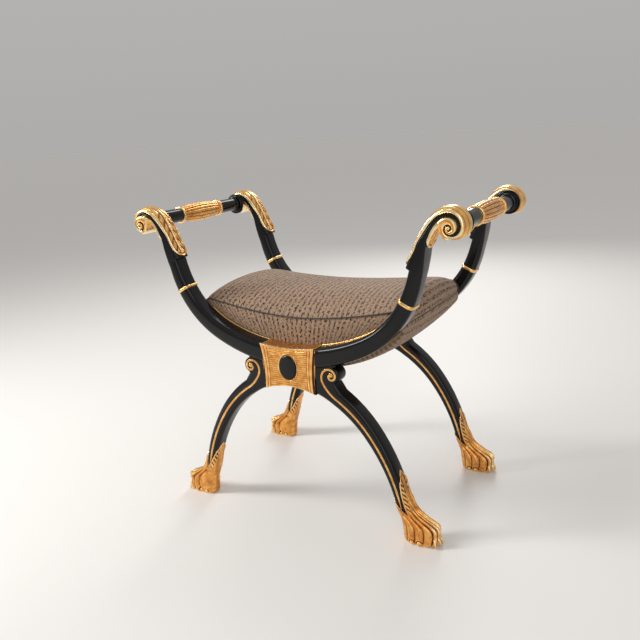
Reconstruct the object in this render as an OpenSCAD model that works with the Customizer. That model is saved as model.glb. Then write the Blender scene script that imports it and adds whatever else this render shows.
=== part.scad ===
/* [Frames] */
// Distance between the middles of the front and rear frames
frame_spacing = 347; // [320:1:420]
// Thickness of the frames, front to back
frame_depth = 40; // [36:1:46]
// Rounding along the edges of the arms
arm_edge_r = 10; // [6:1:12]
// Width of the gilt centre block, left to right
block_w = 124; // [110:1:136]
// Depth of the centre block from the arms' centre line down to the arch
block_under = 59.4; // [54:0.2:66]

/* [Arms] */
// Height of an arm's section at the centre block
arm_base_h = 41; // [38:1:44]
// Height of an arm's section at its gilt ring
arm_ring_h = 31; // [28:1:34]
// Height of an arm's section at the tip of its acanthus leaf
arm_tip_h = 27; // [24:1:29]
// Height of an arm's section below the scroll
arm_neck_h = 17; // [15:1:20]
// Height of the black stem where it enters the scroll
stem_h = 10; // [9:0.5:11]
// Height of the black stem where it fades out in the scroll
stem_end_h = 2; // [1.5:0.5:3]
// Radius of the low curve of the arms
low_r = 390; // [370:5:420]
// Turn of the low curve, in degrees
low_turn = 26; // [25:0.5:27]
// Radius of the rising curve of the arms
rise_r = 206; // [195:1:225]
// Turn of the rising curve, in degrees
rise_turn = 43; // [42:0.5:44]
// Length of the straight part of an arm
rise_l = 107; // [98:1:130]
// Radius where an arm starts to lean back to the scroll
neck_r = 260; // [240:5:300]
// Radius of the bend that leads into the scroll
crook_r = 60; // [56:1:66]
// Radius of the first part of the scroll
scroll_r = 27; // [25.5:0.5:28.5]

/* [Legs] */
// Height of a leg's section at the knee
leg_knee_h = 34; // [31:1:36]
// Height of a leg's section at the ankle
leg_ankle_h = 25; // [23:1:28]
// How far the legs are set back from the faces of the arms
leg_setback = 2; // [1:0.5:3]
// Rounding along the edges of the legs
leg_edge_r = 8; // [5:1:9]
// Distance from the middle of the bench to the knee cut
knee_x = 108; // [104:1:114]
// Slope of the leg at the knee, in degrees below level
knee_slope = 33; // [31:1:35]
// Radius of the upper curve of a leg
leg_top_r = 261; // [240:3:285]
// Radius of the lower curve of a leg
leg_low_r = 382; // [350:4:420]
// Radius of the roll at the top of a leg
roll_r = 17; // [14:0.5:18]
// Width of the gilt line down a leg
line_w = 4; // [3:0.5:5]
// How far the gilt line stands proud
line_proud = 0.8; // [0.5:0.1:1.2]

/* [Paws] */
// Height of the ankle, where a leg meets its paw
ankle_z = 98; // [90:1:110]
// Length of a paw, heel to toe
paw_l = 69; // [62:1:76]
// Width of a paw across the toes
paw_w = 43; // [40:1:48]
// How far the fur leaf at the back of the ankle stands off the leg
fur_t = 13; // [9:1:15]
// How far the tip of that leaf is above the ankle, along the leg
fur_l = 47; // [38:1:54]
// Depth of the creases between the toes
toe_crease = 3.5; // [2:0.5:4.5]

/* [Scroll ornament] */
// Thickness of the acanthus leaf on an arm
leaf_t = 7; // [5:0.5:8]
// Thickness of the gilt band round the scroll
band_t = 11.5; // [9:0.5:12.5]
// How far the volutes stand out of the frame's face
volute_proud = 9; // [6:0.5:12]
// Radius of the eye at the centre of a volute
eye_r = 8; // [6:0.5:9]
// Thickness of the small leaf in the crook of the scroll
crook_leaf_t = 17; // [12:0.5:18]
// Width of the gilt rings, along the arms
ring_w = 6; // [4:0.5:8]
// How far the gilt rings stand proud of the arms
ring_proud = 1.6; // [1:0.2:2.4]

/* [Tablet] */
// Thickness of the gilt tablet
tablet_t = 4; // [3:0.5:6]
// Width across the top corners of the tablet
tablet_top_w = 130; // [124:1:138]
// Width at the waist of the tablet
tablet_waist_w = 115; // [110:1:120]
// Height of the black oval medallion
medallion_h = 52; // [46:1:56]
// Width of the black oval medallion
medallion_w = 41; // [36:1:46]
// Thickness of the medallion
medallion_t = 3; // [2:0.5:4]

/* [Handrails] */
// Diameter of the plain part of a handrail
rail_d = 32; // [28:1:34]
// Diameter of the disc where a handrail meets its scroll
flange_d = 50; // [44:1:54]
// Length of the reeded barrel
barrel_l = 132; // [110:1:150]
// Largest diameter of the reeded barrel
barrel_d = 43; // [40:1:50]
// Diameter of the barrel at its two ends
barrel_end_d = 34; // [34:1:38]
// Number of reeds round the barrel
barrel_reeds = 16; // [12:1:20]
// Width of the gilt rings at the barrel's ends
barrel_ring_w = 6; // [4:0.5:8]
// Diameter of the tenon at each end of a handrail
rail_tenon_d = 12; // [10:0.5:13]
// Length of that tenon
rail_tenon_l = 30; // [20:1:34]

/* [Seat] */
// Height of the seam at the middle of the front edge, above the arc of the frame
seam_rise = 75; // [70:1:84]
// Height of the cushion's rounded ends above the ends of the seat rails
nose_over = 12.8; // [12:0.2:16]
// Height of the crown of the cushion above its seams
crown_h = 47; // [36:1:52]
// How far the middle of a rounded end is set back from the end of the seat rails
nose_set = 3; // [1:0.5:4]
// Radius of the rounded end at the seams
nose_edge_r = 19; // [17:0.5:20]
// Radius of the rounded end at the middle of the seat
nose_mid_r = 36; // [34:1:38]
// How far the padded underside hangs below the frames
belly_h = 9; // [7:1:11]
// How much deeper the underside is at its middle
belly_crown = 12; // [9:1:14]
// Height of the curved seat rails
seat_rail_h = 27; // [24:1:28]
// Thickness of the curved seat rails
seat_rail_t = 24; // [20:1:28]
// Thickness of the slats that carry the cushion
slat_t = 6; // [5:0.5:7]
// Width of one slat
slat_w = 34; // [30:1:38]
// Diameter of the piping along the seams
piping_d = 3; // [2:0.5:3.5]
// Diameter of the thin gilt bead beside the seat
bead_d = 3; // [2:0.5:3.5]

/* [Inner parts] */
// Diameter of the stretcher between the two centre blocks
stretcher_d = 22; // [20:1:24]
// Diameter of the stretcher's tenons
stretcher_tenon_d = 14; // [12:1:16]
// Length of the stretcher's tenons
stretcher_tenon_l = 26; // [20:1:32]
// Diameter of the seat screws
screw_d = 4.5; // [4:0.5:5]
// Diameter of the heads of the seat screws
screw_head_d = 9; // [8:0.5:10]
// Length of the seat screws under the head
screw_l = 38; // [34:1:42]

/* [Hidden] */

black = [0.05, 0.05, 0.06];
gilt = [0.80, 0.60, 0.25];
taupe = [0.55, 0.46, 0.37];
beech = [0.72, 0.56, 0.38];
steel = [0.6, 0.6, 0.62];

$fn = 48;
frame_y = frame_spacing / 2; // the middle of a frame
half_d = frame_depth / 2;
inner_y = frame_y - half_d; // the frames' faces towards the seat
outer_y = frame_y + half_d; // the frames' faces away from the seat
gap = 0.3; // between curved pieces that lie on each other
fit = 0.15; // round a tenon in its hole
cut = 1; // overrun of every cut

// A path is a chain of segments [radius, turn, length]. A turn to the left is positive, and a
// segment with no turn is straight. A place on it is [x, z, heading].
function seg_len(s) = s[1] == 0 ? s[2] : s[0] * abs(s[1]) * PI / 180;
function seg_at(p, s, d) = s[1] == 0
    ? [p[0] + d * cos(p[2]), p[1] + d * sin(p[2]), p[2]]
    : let (r = s[0] * sign(s[1]), a = p[2] + d / r * 180 / PI)
        [p[0] + r * (sin(a) - sin(p[2])), p[1] - r * (cos(a) - cos(p[2])), a];
function path_at(p, segs, d, i = 0) = let (l = seg_len(segs[i]))
    (d <= l || i == len(segs) - 1) ? seg_at(p, segs[i], d)
        : path_at(seg_at(p, segs[i], l), segs, d - l, i + 1);
function path_len(segs, n, i = 0) = i >= n ? 0 : seg_len(segs[i]) + path_len(segs, n, i + 1);

// Points of a rounded rectangle: u is across the path and v runs front to back
corner_n = 4;
function section(hu, hv, r) = [for (q = [0:3], k = [0:corner_n - 1])
    let (t = 90 * q + 90 * k / (corner_n - 1),
        cu = (q == 0 || q == 3 ? 1 : -1) * (hu - r), cv = (q < 2 ? 1 : -1) * (hv - r))
    [cu + r * cos(t), cv + r * sin(t)]];
// Carries the points of a section to a place on a path
function carry(p, pts) = [for (q = pts) [p[0] - q[0] * sin(p[2]), q[1], p[1] + q[0] * cos(p[2])]];

// A closed solid through rings that have the same number of points. Each ring is one loop. With strips
// it goes along one path and comes back along another, and the ends are closed between the two.
module loft(rings, strips = false) {
    n = len(rings[0]);
    m = len(rings);
    last = (m - 1) * n;
    polyhedron(points = [for (r = rings) each r], faces = concat(
        [for (i = [0:m - 2], k = [0:n - 1]) [(i + 1) * n + (k + 1) % n, (i + 1) * n + k, i * n + k]],
        [for (i = [0:m - 2], k = [0:n - 1]) [i * n + (k + 1) % n, (i + 1) * n + (k + 1) % n, i * n + k]],
        strips ? [] : [[for (k = [n - 1:-1:0]) k], [for (k = [0:n - 1]) last + k]],
        strips ? [for (k = [0:n / 2 - 2]) [n - 2 - k, k + 1, k]] : [],
        strips ? [for (k = [0:n / 2 - 2]) [n - 1 - k, n - 2 - k, k]] : [],
        strips ? [for (k = [0:n / 2 - 2]) [last + k, last + k + 1, last + n - 2 - k]] : [],
        strips ? [for (k = [0:n / 2 - 2]) [last + k, last + n - 2 - k, last + n - 1 - k]] : []));
}

// One corner of the bench: side is -1 at the left and 1 at the right, face is -1 at the front
module at_corner(side, face) {
    mirror([side < 0 ? 1 : 0, 0, 0]) mirror([0, face > 0 ? 1 : 0, 0]) translate([0, -frame_y, 0]) children();
}
module at_face(face) {
    mirror([0, face > 0 ? 1 : 0, 0]) translate([0, -frame_y, 0]) children();
}
module at_side(side) {
    mirror([side < 0 ? 1 : 0, 0, 0]) children();
}

// Legs. The path runs down from the knee cut, and its end is the ankle.
leg_top_turn = 21.5;
leg_low_turn = 20.2;
leg_segs = [[leg_top_r, -leg_top_turn, 0], [leg_low_r, -leg_low_turn, 0]];
leg_l = path_len(leg_segs, len(leg_segs));
leg_drop = path_at([0, 0, -knee_slope], leg_segs, leg_l);
knee_z = ankle_z - leg_drop[1];
leg_start = [knee_x, knee_z, -knee_slope];
leg_half_d = half_d - leg_setback;
function leg_at(d) = path_at(leg_start, leg_segs, d);
function leg_half(d) = (leg_knee_h + (leg_ankle_h - leg_knee_h) * d / leg_l) / 2;
function leg_ring(d, grow = 0) = carry(leg_at(d),
    section(leg_half(d) + grow, leg_half_d + grow, leg_edge_r + grow));

// Arms. The path runs from the middle of the bench out, up and round into the scroll.
arm_over_knee = 76; // height of the arc's centre line above the knee cut
arc_z = knee_z + arm_over_knee;
arch_z = arc_z - block_under;
neck_turn = 6;
crook_turn = 12;
scroll_step = 45;
scroll_steps = 12;
scroll_ratio = 0.838; // each step of the scroll is tighter than the last by this share
arm_segs = concat([[low_r, low_turn, 0], [rise_r, rise_turn, 0], [0, 0, rise_l],
    [neck_r, -neck_turn, 0], [crook_r, -crook_turn, 0]],
    [for (k = [0:scroll_steps - 1]) [scroll_r * pow(scroll_ratio, k), -scroll_step, 0]]);
function arm_at(d) = path_at([0, arc_z, 0], arm_segs, d);
s_rise = path_len(arm_segs, 2); // where the straight part starts
s_neck = path_len(arm_segs, 3);
s_crook = path_len(arm_segs, 4);
s_scroll = path_len(arm_segs, 5); // where the scroll itself starts
s_fade = path_len(arm_segs, 10); // where the black stem ends
s_band_end = path_len(arm_segs, 12);
s_eye = path_len(arm_segs, len(arm_segs));
ring_back = 22; // the ring is this far before the straight part
s_ring = s_rise - ring_back;
block_half = block_w / 2;
s_base = low_r * asin(block_half / low_r) * PI / 180; // where the path leaves the block
function arm_half(d) = lookup(d, [[0, arm_base_h], [s_base, arm_base_h], [s_ring, arm_ring_h],
    [leaf_start, arm_tip_h], [s_neck - neck_lead, arm_neck_h], [s_crook, stem_h * 1.15], [s_scroll + scroll_r / 2, stem_h],
    [s_fade, stem_end_h], [s_band_end, stem_end_h / 4]]) / 2;
neck_lead = 8;
leaf_after = 46; // the acanthus leaf starts this far after the rising curve
leaf_start = s_rise + leaf_after; // tip of the leaf, along the arm
edge_fade = 30; // length over which the arm's edge turns sharp under the leaf
leaf_edge_r = 3.5;
function arm_edge(d) = min(0.85 * arm_half(d), lookup(d, [[leaf_start - edge_fade / 2, arm_edge_r],
    [leaf_start + edge_fade, leaf_edge_r]]));
function arm_ring_pts(d, grow = 0) = section(arm_half(d) + grow, half_d + grow, arm_edge(d) + grow);
// The first ring lies flat against the block, and the next ones turn square to the path
square_up = 40;
function arm_ring(d) = let (p = arm_at(d), t = min(1, (d - s_base) / square_up))
    carry([p[0], p[1], p[2] * t], arm_ring_pts(d));

function span(a, b, n) = [for (i = [0:n]) a + (b - a) * i / n];
low_rings = 7;
neck_rings = 6;
scroll_cuts = 3; // places on each step of the scroll
function scroll_places(steps) = [for (j = [5:4 + steps], q = [0:scroll_cuts - 1])
    path_len(arm_segs, j) + seg_len(arm_segs[j]) * q / scroll_cuts];
low_stations = span(s_base, s_ring - ring_w / 2, low_rings);
arm_stations = concat(low_stations, [s_ring + ring_w / 2], span(s_rise, leaf_start, 1),
    [leaf_start + edge_fade], span(s_neck - neck_lead, s_scroll, neck_rings), scroll_places(5), [s_fade]);
// Drops a station that repeats the one before it
function distinct(v) = [for (i = [0:len(v) - 1]) if (i == 0 || v[i] > v[i - 1] + gap) v[i]];

module arm() {
    color(black) loft([for (d = distinct(arm_stations)) arm_ring(d)]);
}

// The gilt line runs up a leg's face and rolls up on the knee. Its eye is the middle of the roll.
line_bend_r = 85;
line_bend_turn = 30;
line_roll_r = 23;
line_roll_steps = 12;
line_roll_ratio = 0.83; // each step of the roll is tighter than the last by this share
line_segs = concat([[line_bend_r, -line_bend_turn, 0]],
    [for (k = [0:line_roll_steps - 1]) [line_roll_r * pow(line_roll_ratio, k), -scroll_step, 0]]);
line_l = path_len(line_segs, len(line_segs));
function line_at(d) = path_at([knee_x, knee_z, 180 - knee_slope], line_segs, d);
roll = line_at(line_l);

// The knee of a leg runs from the block's side to the knee cut, with the roll at its outer corner
knee_in = carry(leg_start, [[-leg_knee_h / 2, 0]])[0];
knee_out = carry(leg_start, [[leg_knee_h / 2, 0]])[0];
arch_drop = arch_z - knee_in[2];
arch_r = (knee_in[0] * knee_in[0] + arch_drop * arch_drop) / (2 * arch_drop);
arch_mid = arch_z - arch_r; // height of the middle of the arch's circle
arm_under_r = low_r + arm_base_h / 2; // the lower edge of the arms
arm_top_r = low_r - arm_base_h / 2; // the upper edge of the arms
low_mid = arc_z + low_r; // height of the middle of the arms' low curve
glue = 0.05; // a glue line between two flat faces
tenon_wall = 4.5; // wood left under the stretcher's tenon
// Turns an outline in X and Z into a plate from y0 to y1
module plate(y0, y1) {
    translate([0, y1, 0]) rotate([90, 0, 0]) linear_extrude(y1 - y0) children();
}
module arch_cut() {
    translate([0, arch_mid]) circle(arch_r);
}
module knee_outline() {
    difference() {
        union() {
            polygon([[block_half + glue, arch_mid], [knee_in[0], knee_in[2]], [knee_out[0], knee_out[2]],
                [roll[0] + roll_r * 0.3, roll[1] - roll_r * 0.9], [roll[0], roll[1] + roll_r],
                [block_half + glue, roll[1] + roll_r]]);
            translate([roll[0], roll[1]]) circle(roll_r);
        }
        arch_cut();
        translate([0, low_mid]) circle(arm_under_r + gap);
    }
}
leg_rings = 9;
knee_lap = leg_edge_r / 4; // the shank starts this far inside the knee
module leg() {
    color(black) {
        plate(-leg_half_d, leg_half_d) knee_outline();
        loft([for (d = span(-knee_lap, leg_l, leg_rings)) leg_ring(d)]);
    }
}

// The gilt line on both faces of a leg
line_stations = 14;
roll_cuts = 3 * line_roll_steps;
line_start = leg_l - fur_l * 0.78; // the line comes out of the fur leaf here
function flat_point(p, u) = [p[0] - u * sin(p[2]), p[1] + u * cos(p[2])];
function line_side(h) = concat(
    [for (i = [line_stations:-1:1]) flat_point(leg_at(line_start * i / line_stations), h)],
    [for (i = [0:roll_cuts]) flat_point(line_at(line_l * i / roll_cuts), -h)]);
module line_outline() {
    up = line_side(line_w / 2);
    down = line_side(-line_w / 2);
    polygon(concat(up, [for (i = [len(down) - 1:-1:0]) down[i]]));
}
module leg_line() {
    color(gilt) for (s = [-1, 1]) mirror([0, s > 0 ? 1 : 0, 0])
        plate(-leg_half_d - line_proud, -leg_half_d) line_outline();
}

// Centre block with the bore for the stretcher's tenon
module block_outline() {
    difference() {
        translate([-block_half, arch_mid]) square([block_w, low_mid - arch_mid]);
        arch_cut();
        translate([0, low_mid]) circle(arm_top_r);
    }
}
stretcher_z = arch_z + stretcher_tenon_d / 2 + tenon_wall;
module block() {
    color(black) difference() {
        plate(-half_d, half_d) block_outline();
        translate([0, half_d - stretcher_tenon_l - fit, stretcher_z]) rotate([-90, 0, 0])
            cylinder(d = stretcher_tenon_d + 2 * fit, h = stretcher_tenon_l + cut);
    }
}

// Gilt tablet over the block's face and top
tablet_cap = tablet_t * 0.75;
tablet_top_z = arc_z + arm_base_h / 2;
tablet_waist_z = arch_z + (tablet_top_z - arch_z) * 0.28;
tablet_flare = (tablet_top_w - tablet_waist_w) / 2;
tablet_rise = tablet_top_z + tablet_cap - tablet_waist_z;
tablet_side_r = (tablet_flare * tablet_flare + tablet_rise * tablet_rise) / (2 * tablet_flare);
module tablet_outline() {
    difference() {
        translate([-tablet_top_w, arch_mid]) square([2 * tablet_top_w, low_mid - arch_mid]);
        arch_cut();
        translate([0, low_mid]) circle(arm_top_r - tablet_cap);
        for (s = [-1, 1]) translate([s * (tablet_waist_w / 2 + tablet_side_r), tablet_waist_z])
            circle(tablet_side_r);
        for (s = [-1, 1]) translate([s * tablet_top_w * 1.5, arc_z])
            square([2 * tablet_top_w, 2 * low_r], center = true);
    }
}
module cap_outline() {
    difference() {
        translate([-block_half, arc_z]) square([block_w, low_r]);
        translate([0, low_mid]) circle(arm_top_r - tablet_cap);
        difference() {
            translate([-block_w, arc_z - arm_base_h]) square([2 * block_w, low_r]);
            translate([0, low_mid]) circle(arm_top_r);
        }
    }
}
module tablet() {
    color(gilt) {
        plate(-half_d - tablet_t, -half_d) tablet_outline();
        plate(-half_d - cut, half_d) cap_outline();
    }
}
oval_n = 36;
medallion_z = arch_z + (tablet_top_z - arch_z) * 0.52;
module medallion() {
    color(black) plate(-half_d - tablet_t - medallion_t, -half_d - tablet_t)
        polygon([for (i = [0:oval_n - 1]) [medallion_w / 2 * cos(360 * i / oval_n),
            medallion_z + medallion_h / 2 * sin(360 * i / oval_n)]]);
}

// Acanthus leaf: it lies on the inner side of the arm and goes round the outside of the scroll
leaf_tip_w = 18;
leaf_inset = 0.5; // the leaf's edges, inside the faces of the arm
band_over = 2.5; // the band's edges, outside them
leaf_w = 2 * (half_d - leaf_inset);
band_w = 2 * (half_d + band_over);
leaf_grow = 28; // length over which the tip swells to full width
tip_t = 2.5;
tip_lift = 3;
leaf_v_n = 6;
function leaf_half_w(d) = lookup(d, [[leaf_start, leaf_tip_w], [leaf_start + leaf_grow * 0.4, leaf_w * 0.85],
    [leaf_start + leaf_grow, leaf_w], [s_neck, leaf_w], [s_scroll, band_w], [s_band_end, band_w]]) / 2;
function leaf_thick(d) = lookup(d, [[leaf_start, tip_t], [leaf_start + leaf_grow, leaf_t], [s_neck, leaf_t],
    [s_scroll, band_t], [s_fade - band_t, band_t], [s_fade, band_t * 0.72], [s_band_end, band_t * 0.68]]);
function leaf_up(d) = gap + lookup(d, [[leaf_start, tip_lift], [leaf_start + leaf_grow, 0]]);
leaf_crown = 0.3; // share of the thickness that the leaf loses towards its edges
function leaf_ring(d) = let (w = leaf_half_w(d), t = leaf_thick(d), n0 = arm_half(d) + leaf_up(d))
    carry(arm_at(d), concat(
        [for (k = [0:leaf_v_n]) let (v = -1 + 2 * k / leaf_v_n) [n0 + t * (1 - leaf_crown * v * v), w * v]],
        [[n0, w], [n0, -w]]));
leaf_rings = 7;
bend_rings = 4;
crook_start = s_neck - neck_lead;
crook_rings = 6;
function crook_part(d) = (d - crook_start) / (s_crook - crook_start);
function crook_thick(d) = crook_leaf_t * (0.25 + 0.75 * sin(180 * min(1, crook_part(d) * 1.15)));
function crook_w(d) = leaf_w / 2 * (0.55 + 0.45 * min(1, crook_part(d) * 2));
function crook_ring(d) = let (w = crook_w(d), t = crook_thick(d), n0 = arm_half(d) + gap) carry(arm_at(d),
    [for (q = [[0, -w], [0, w], [t * 0.6, w], [t, w / 2], [t, -w / 2], [t * 0.6, -w]]) [-n0 - q[0], q[1]]]);
module leaf() {
    color(gilt) {
        loft([for (d = distinct(concat(span(leaf_start, s_neck, leaf_rings),
            span(s_neck, s_scroll, bend_rings), scroll_places(7), [s_band_end - cut]))) leaf_ring(d)]);
        loft([for (d = span(crook_start, s_crook - cut * 2, crook_rings)) crook_ring(d)]);
    }
}

// Volute: the gilt heart of the scroll, inside the black stem
volute_inner = 4; // how far it stands out towards the handrail
volute_stations = 40;
function volute_pts() = [for (d = span(s_crook, s_band_end, volute_stations))
    flat_point(arm_at(d), -arm_half(d) - gap)];
eye = arm_at(s_eye);
rail_x = eye[0] + eye_r / 4;
rail_z = eye[1] + eye_r * 0.4;
module volute() {
    color(gilt) difference() {
        union() {
            plate(-half_d - volute_proud, half_d + volute_inner) polygon(volute_pts());
            translate([eye[0], -half_d - volute_proud, eye[1]]) rotate([90, 0, 0])
                cylinder(r1 = eye_r, r2 = eye_r * 0.5, h = eye_r * 0.6);
        }
        translate([rail_x, half_d + volute_inner - rail_tenon_l - fit, rail_z]) rotate([-90, 0, 0])
            cylinder(d = rail_tenon_d + 2 * fit, h = rail_tenon_l + cut);
    }
}

// A closed collar round an arm
module arm_ring_collar() {
    d0 = s_ring - ring_w / 2;
    rows = [[0, gap], [0, ring_proud * 0.6], [0.5, ring_proud], [1, ring_proud * 0.6], [1, gap]];
    m = len(rows);
    loops = [for (r = rows) carry(arm_at(d0 + ring_w * r[0]), arm_ring_pts(d0 + ring_w * r[0], r[1]))];
    n = len(loops[0]);
    function next(i) = (i + 1) % m * n;
    color(gilt) polyhedron(points = [for (l = loops) each l], faces = concat(
        [for (i = [0:m - 1], k = [0:n - 1]) [next(i) + (k + 1) % n, next(i) + k, i * n + k]],
        [for (i = [0:m - 1], k = [0:n - 1]) [i * n + (k + 1) % n, next(i) + (k + 1) % n, i * n + k]]));
}

// Paws. Each row is [height, heel, toe, half width]: the height as a share of the ankle's, heel and
// toe from the ankle's middle as shares of the paw's length, the half width as a share of its width.
paw_shares = [[0, 0.12, 1.05, 0.42], [0.04, 0.08, 1.11, 0.475], [0.14, 0.06, 1.15, 0.5],
    [0.29, 0.03, 1.16, 0.5], [0.39, 0.01, 1.13, 0.49], [0.47, -0.01, 1.03, 0.475], [0.53, -0.025, 0.88, 0.465],
    [0.61, -0.05, 0.72, 0.455], [0.71, -0.08, 0.6, 0.455], [0.84, -0.13, 0.5, 0.46]];
// Directions of a row's points, seen from above with the toes at 0 degrees. The creases between the
// four toes lie at -30, 0 and 30 degrees.
toe_turns = [0, 6, 14.5, 24, 30, 36, 48.6, 68, 90, 112, 135, 158, 180, 202, 225, 248, 270,
    292, 311.4, 324, 330, 336, 345.5, 354];
toe_blunt = 0.55; // lower makes the toes' arc blunter
toe_fade_shares = [0.45, 0.8]; // shares of the ankle's height over which the creases run out
function is_crease(t) = t == 0 || t == 30 || t == 330;
function bent(c, e) = sign(c) * pow(abs(c), e);
function crease_at(t, z) = is_crease(t)
    ? toe_crease * lookup(z, [[toe_fade_shares[0], 1], [toe_fade_shares[1], 0]]) : 0;
function paw_row(r) = let (a = (r[2] - r[1]) / 2 * paw_l, mid = (r[2] + r[1]) / 2 * paw_l)
    [for (t = toe_turns) let (e = cos(t) > 0 ? toe_blunt : 0.8)
        [leg_end[0] + mid + a * bent(cos(t), e) - crease_at(t, r[0]),
            r[3] * paw_w * bent(sin(t), 0.8), r[0] * ankle_z]];
leg_end = leg_at(leg_l);
fur_side = 1.5; // thickness of the fur at the faces of the leg
function ankle_ring(d) = carry(leg_at(d), [for (t = toe_turns) let (c = bent(cos(t), 0.6), h = leg_half(leg_l))
    [c * (h + (c > 0 ? fur_t : fur_side)), (leg_half_d + fur_side) * bent(sin(t), 0.6)]]);
// Fur leaf round one edge of the leg: side is 1 at the toes and -1 at the heel. A ring is a C round the
// leg's section; lim is where the C ends on the leg's faces and t its thickness over the edge.
fur_arc = [90, 60, 30, 0];
function fur_ring(d, lim, t, side) = let (h = leg_half(d), r = leg_edge_r,
    out = concat([[lim, leg_half_d + gap + fur_side]],
        [for (a = fur_arc) [h - r + (r + gap + t) * cos(a), leg_half_d - r + (r + gap + fur_side) * sin(a)]]),
    in = concat([[lim, leg_half_d + gap]],
        [for (a = fur_arc) [h - r + (r + gap) * cos(a), leg_half_d - r + (r + gap) * sin(a)]]),
    half = concat([for (q = out) [q[0], -q[1]]], [for (i = [len(out) - 1:-1:0]) out[i]]),
    back = concat([for (q = in) q], [for (i = [len(in) - 1:-1:0]) [in[i][0], -in[i][1]]]),
    all = concat(half, back))
    carry(leg_at(d), side > 0 ? all : [for (i = [len(all) - 1:-1:0]) [-all[i][0], all[i][1]]]);
fur_rings = 5;
heel_fur_share = 0.75; // the fur at the heel is this much shorter
function fur_edge_share(k) = pow(k, 0.7);
module fur(side) {
    l = side > 0 ? fur_l : fur_l * heel_fur_share;
    t_end = side > 0 ? fur_t - gap : fur_side;
    lim_end = side > 0 ? -leg_edge_r * 0.4 : leg_edge_r * 0.15;
    loft([for (i = [0:fur_rings]) let (k = i / fur_rings, d = leg_l + cut - (l + cut) * (1 - k))
        fur_ring(d, (leg_half(d) - leg_edge_r) * 0.9 * (1 - k) + lim_end * k,
            fur_side + (t_end - fur_side) * fur_edge_share(k), side)], strips = true);
}
module paw() {
    color(gilt) {
        loft(concat([ankle_ring(leg_l + glue)], [for (i = [len(paw_shares) - 1:-1:0]) paw_row(paw_shares[i])]));
        fur(1);
        fur(-1);
    }
}

// A tube along a list of [place, across, side] points, with a small round section
tube_n = 5;
module tube(rings_at, r) {
    loft([for (q = rings_at) carry(q[0], [for (k = [0:tube_n - 1])
        [q[1] + r * cos(360 * k / tube_n), q[2] + r * sin(360 * k / tube_n)]])]);
}
// Thin gilt bead along the arm's upper edge, beside the seat
bead_turn = 33; // how far round the arm's upper corner it lies, from the top
bead_stations = 5; // it ends with this station of the arm
module bead() {
    off = arm_edge_r + gap + bead_d / 2;
    color(gilt) for (side = [-1, 1]) at_side(side)
        tube([for (i = [0:bead_stations]) let (d = low_stations[i] + (i == 0 ? bead_d + cut : 0))
            [arm_at(d), arm_half(d) - arm_edge_r + off * cos(bead_turn),
                half_d - arm_edge_r + off * sin(bead_turn)]], bead_d / 2);
}

// Half of a handrail, turned: a disc on the volute, a cove and a bead, a plain rod, and a tenon at each end
flange_t = 3.2;
cove_l = 8;
cove_n = 5;
collar_over = 3; // the bead under the disc stands this far out
collar_d = rail_d + 2 * collar_over;
collar_l = 4;
barrel_half = barrel_l / 2;
shoulder = frame_y - barrel_half - barrel_ring_w; // where the rod meets the barrel's gilt ring
rail_face = half_d + volute_inner;
module at_rail() {
    translate([rail_x, 0, rail_z]) rotate([-90, 0, 0]) children();
}
module handrail() {
    y1 = rail_face + flange_t;
    y2 = y1 + cove_l;
    disc_in = (flange_d - flange_t) / 2;
    rail_end_y = shoulder + barrel_ring_w + rail_tenon_l;
    color(black) at_rail() rotate_extrude() polygon(concat(
        [[0, rail_face - rail_tenon_l], [rail_tenon_d / 2, rail_face - rail_tenon_l],
            [rail_tenon_d / 2, rail_face], [disc_in, rail_face],
            [flange_d / 2, rail_face + flange_t / 2], [disc_in, y1]],
        [for (k = [0:cove_n]) let (a = 90 * k / cove_n)
            [collar_d / 2 + (flange_d - collar_d) / 3 * (1 - sin(a)), y1 + cove_l * (1 - cos(a))]],
        [[collar_d / 2, y2 + collar_l * 0.7], [rail_d / 2, y2 + collar_l], [rail_d / 2, shoulder],
            [rail_tenon_d / 2, shoulder], [rail_tenon_d / 2, rail_end_y], [0, rail_end_y]]));
}
// The barrel swells to its middle and is cut into reeds
barrel_rings = 6;
reed_n = 4;
reed_h = barrel_d * PI / barrel_reeds / 6;
reed_shares = [0, 0.75, 1, 0.75];
function barrel_r(y) = barrel_end_d / 2 + (barrel_d - barrel_end_d) / 2 * cos(90 * y / barrel_half);
module barrel(side) {
    color(gilt) at_side(side) difference() {
        loft([for (y = span(barrel_half, -barrel_half, barrel_rings))
            [for (i = [0:barrel_reeds - 1], k = [0:reed_n - 1])
                let (a = 360 * (i + k / reed_n) / barrel_reeds, r = barrel_r(y) - reed_h * (1 - reed_shares[k]))
                [rail_x + r * cos(a), y, rail_z + r * sin(a)]]]);
        for (s = [-1, 1]) translate([rail_x, s * barrel_half, rail_z]) rotate([90, 0, 0])
            cylinder(d = rail_tenon_d + 2 * fit, h = 2 * (rail_tenon_l + fit), center = true);
    }
}
module barrel_ring_pair(side) {
    r = barrel_end_d / 2;
    hole = rail_tenon_d / 2 + fit;
    color(gilt) at_side(side) for (s = [-1, 1]) translate([rail_x, s * barrel_half, rail_z])
        rotate([s > 0 ? -90 : 90, 0, 0]) rotate_extrude() polygon([[hole, 0], [r, 0],
            [r + ring_proud, barrel_ring_w * 0.25], [r + ring_proud, barrel_ring_w * 0.75],
            [r, barrel_ring_w], [hole, barrel_ring_w]]);
}

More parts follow.
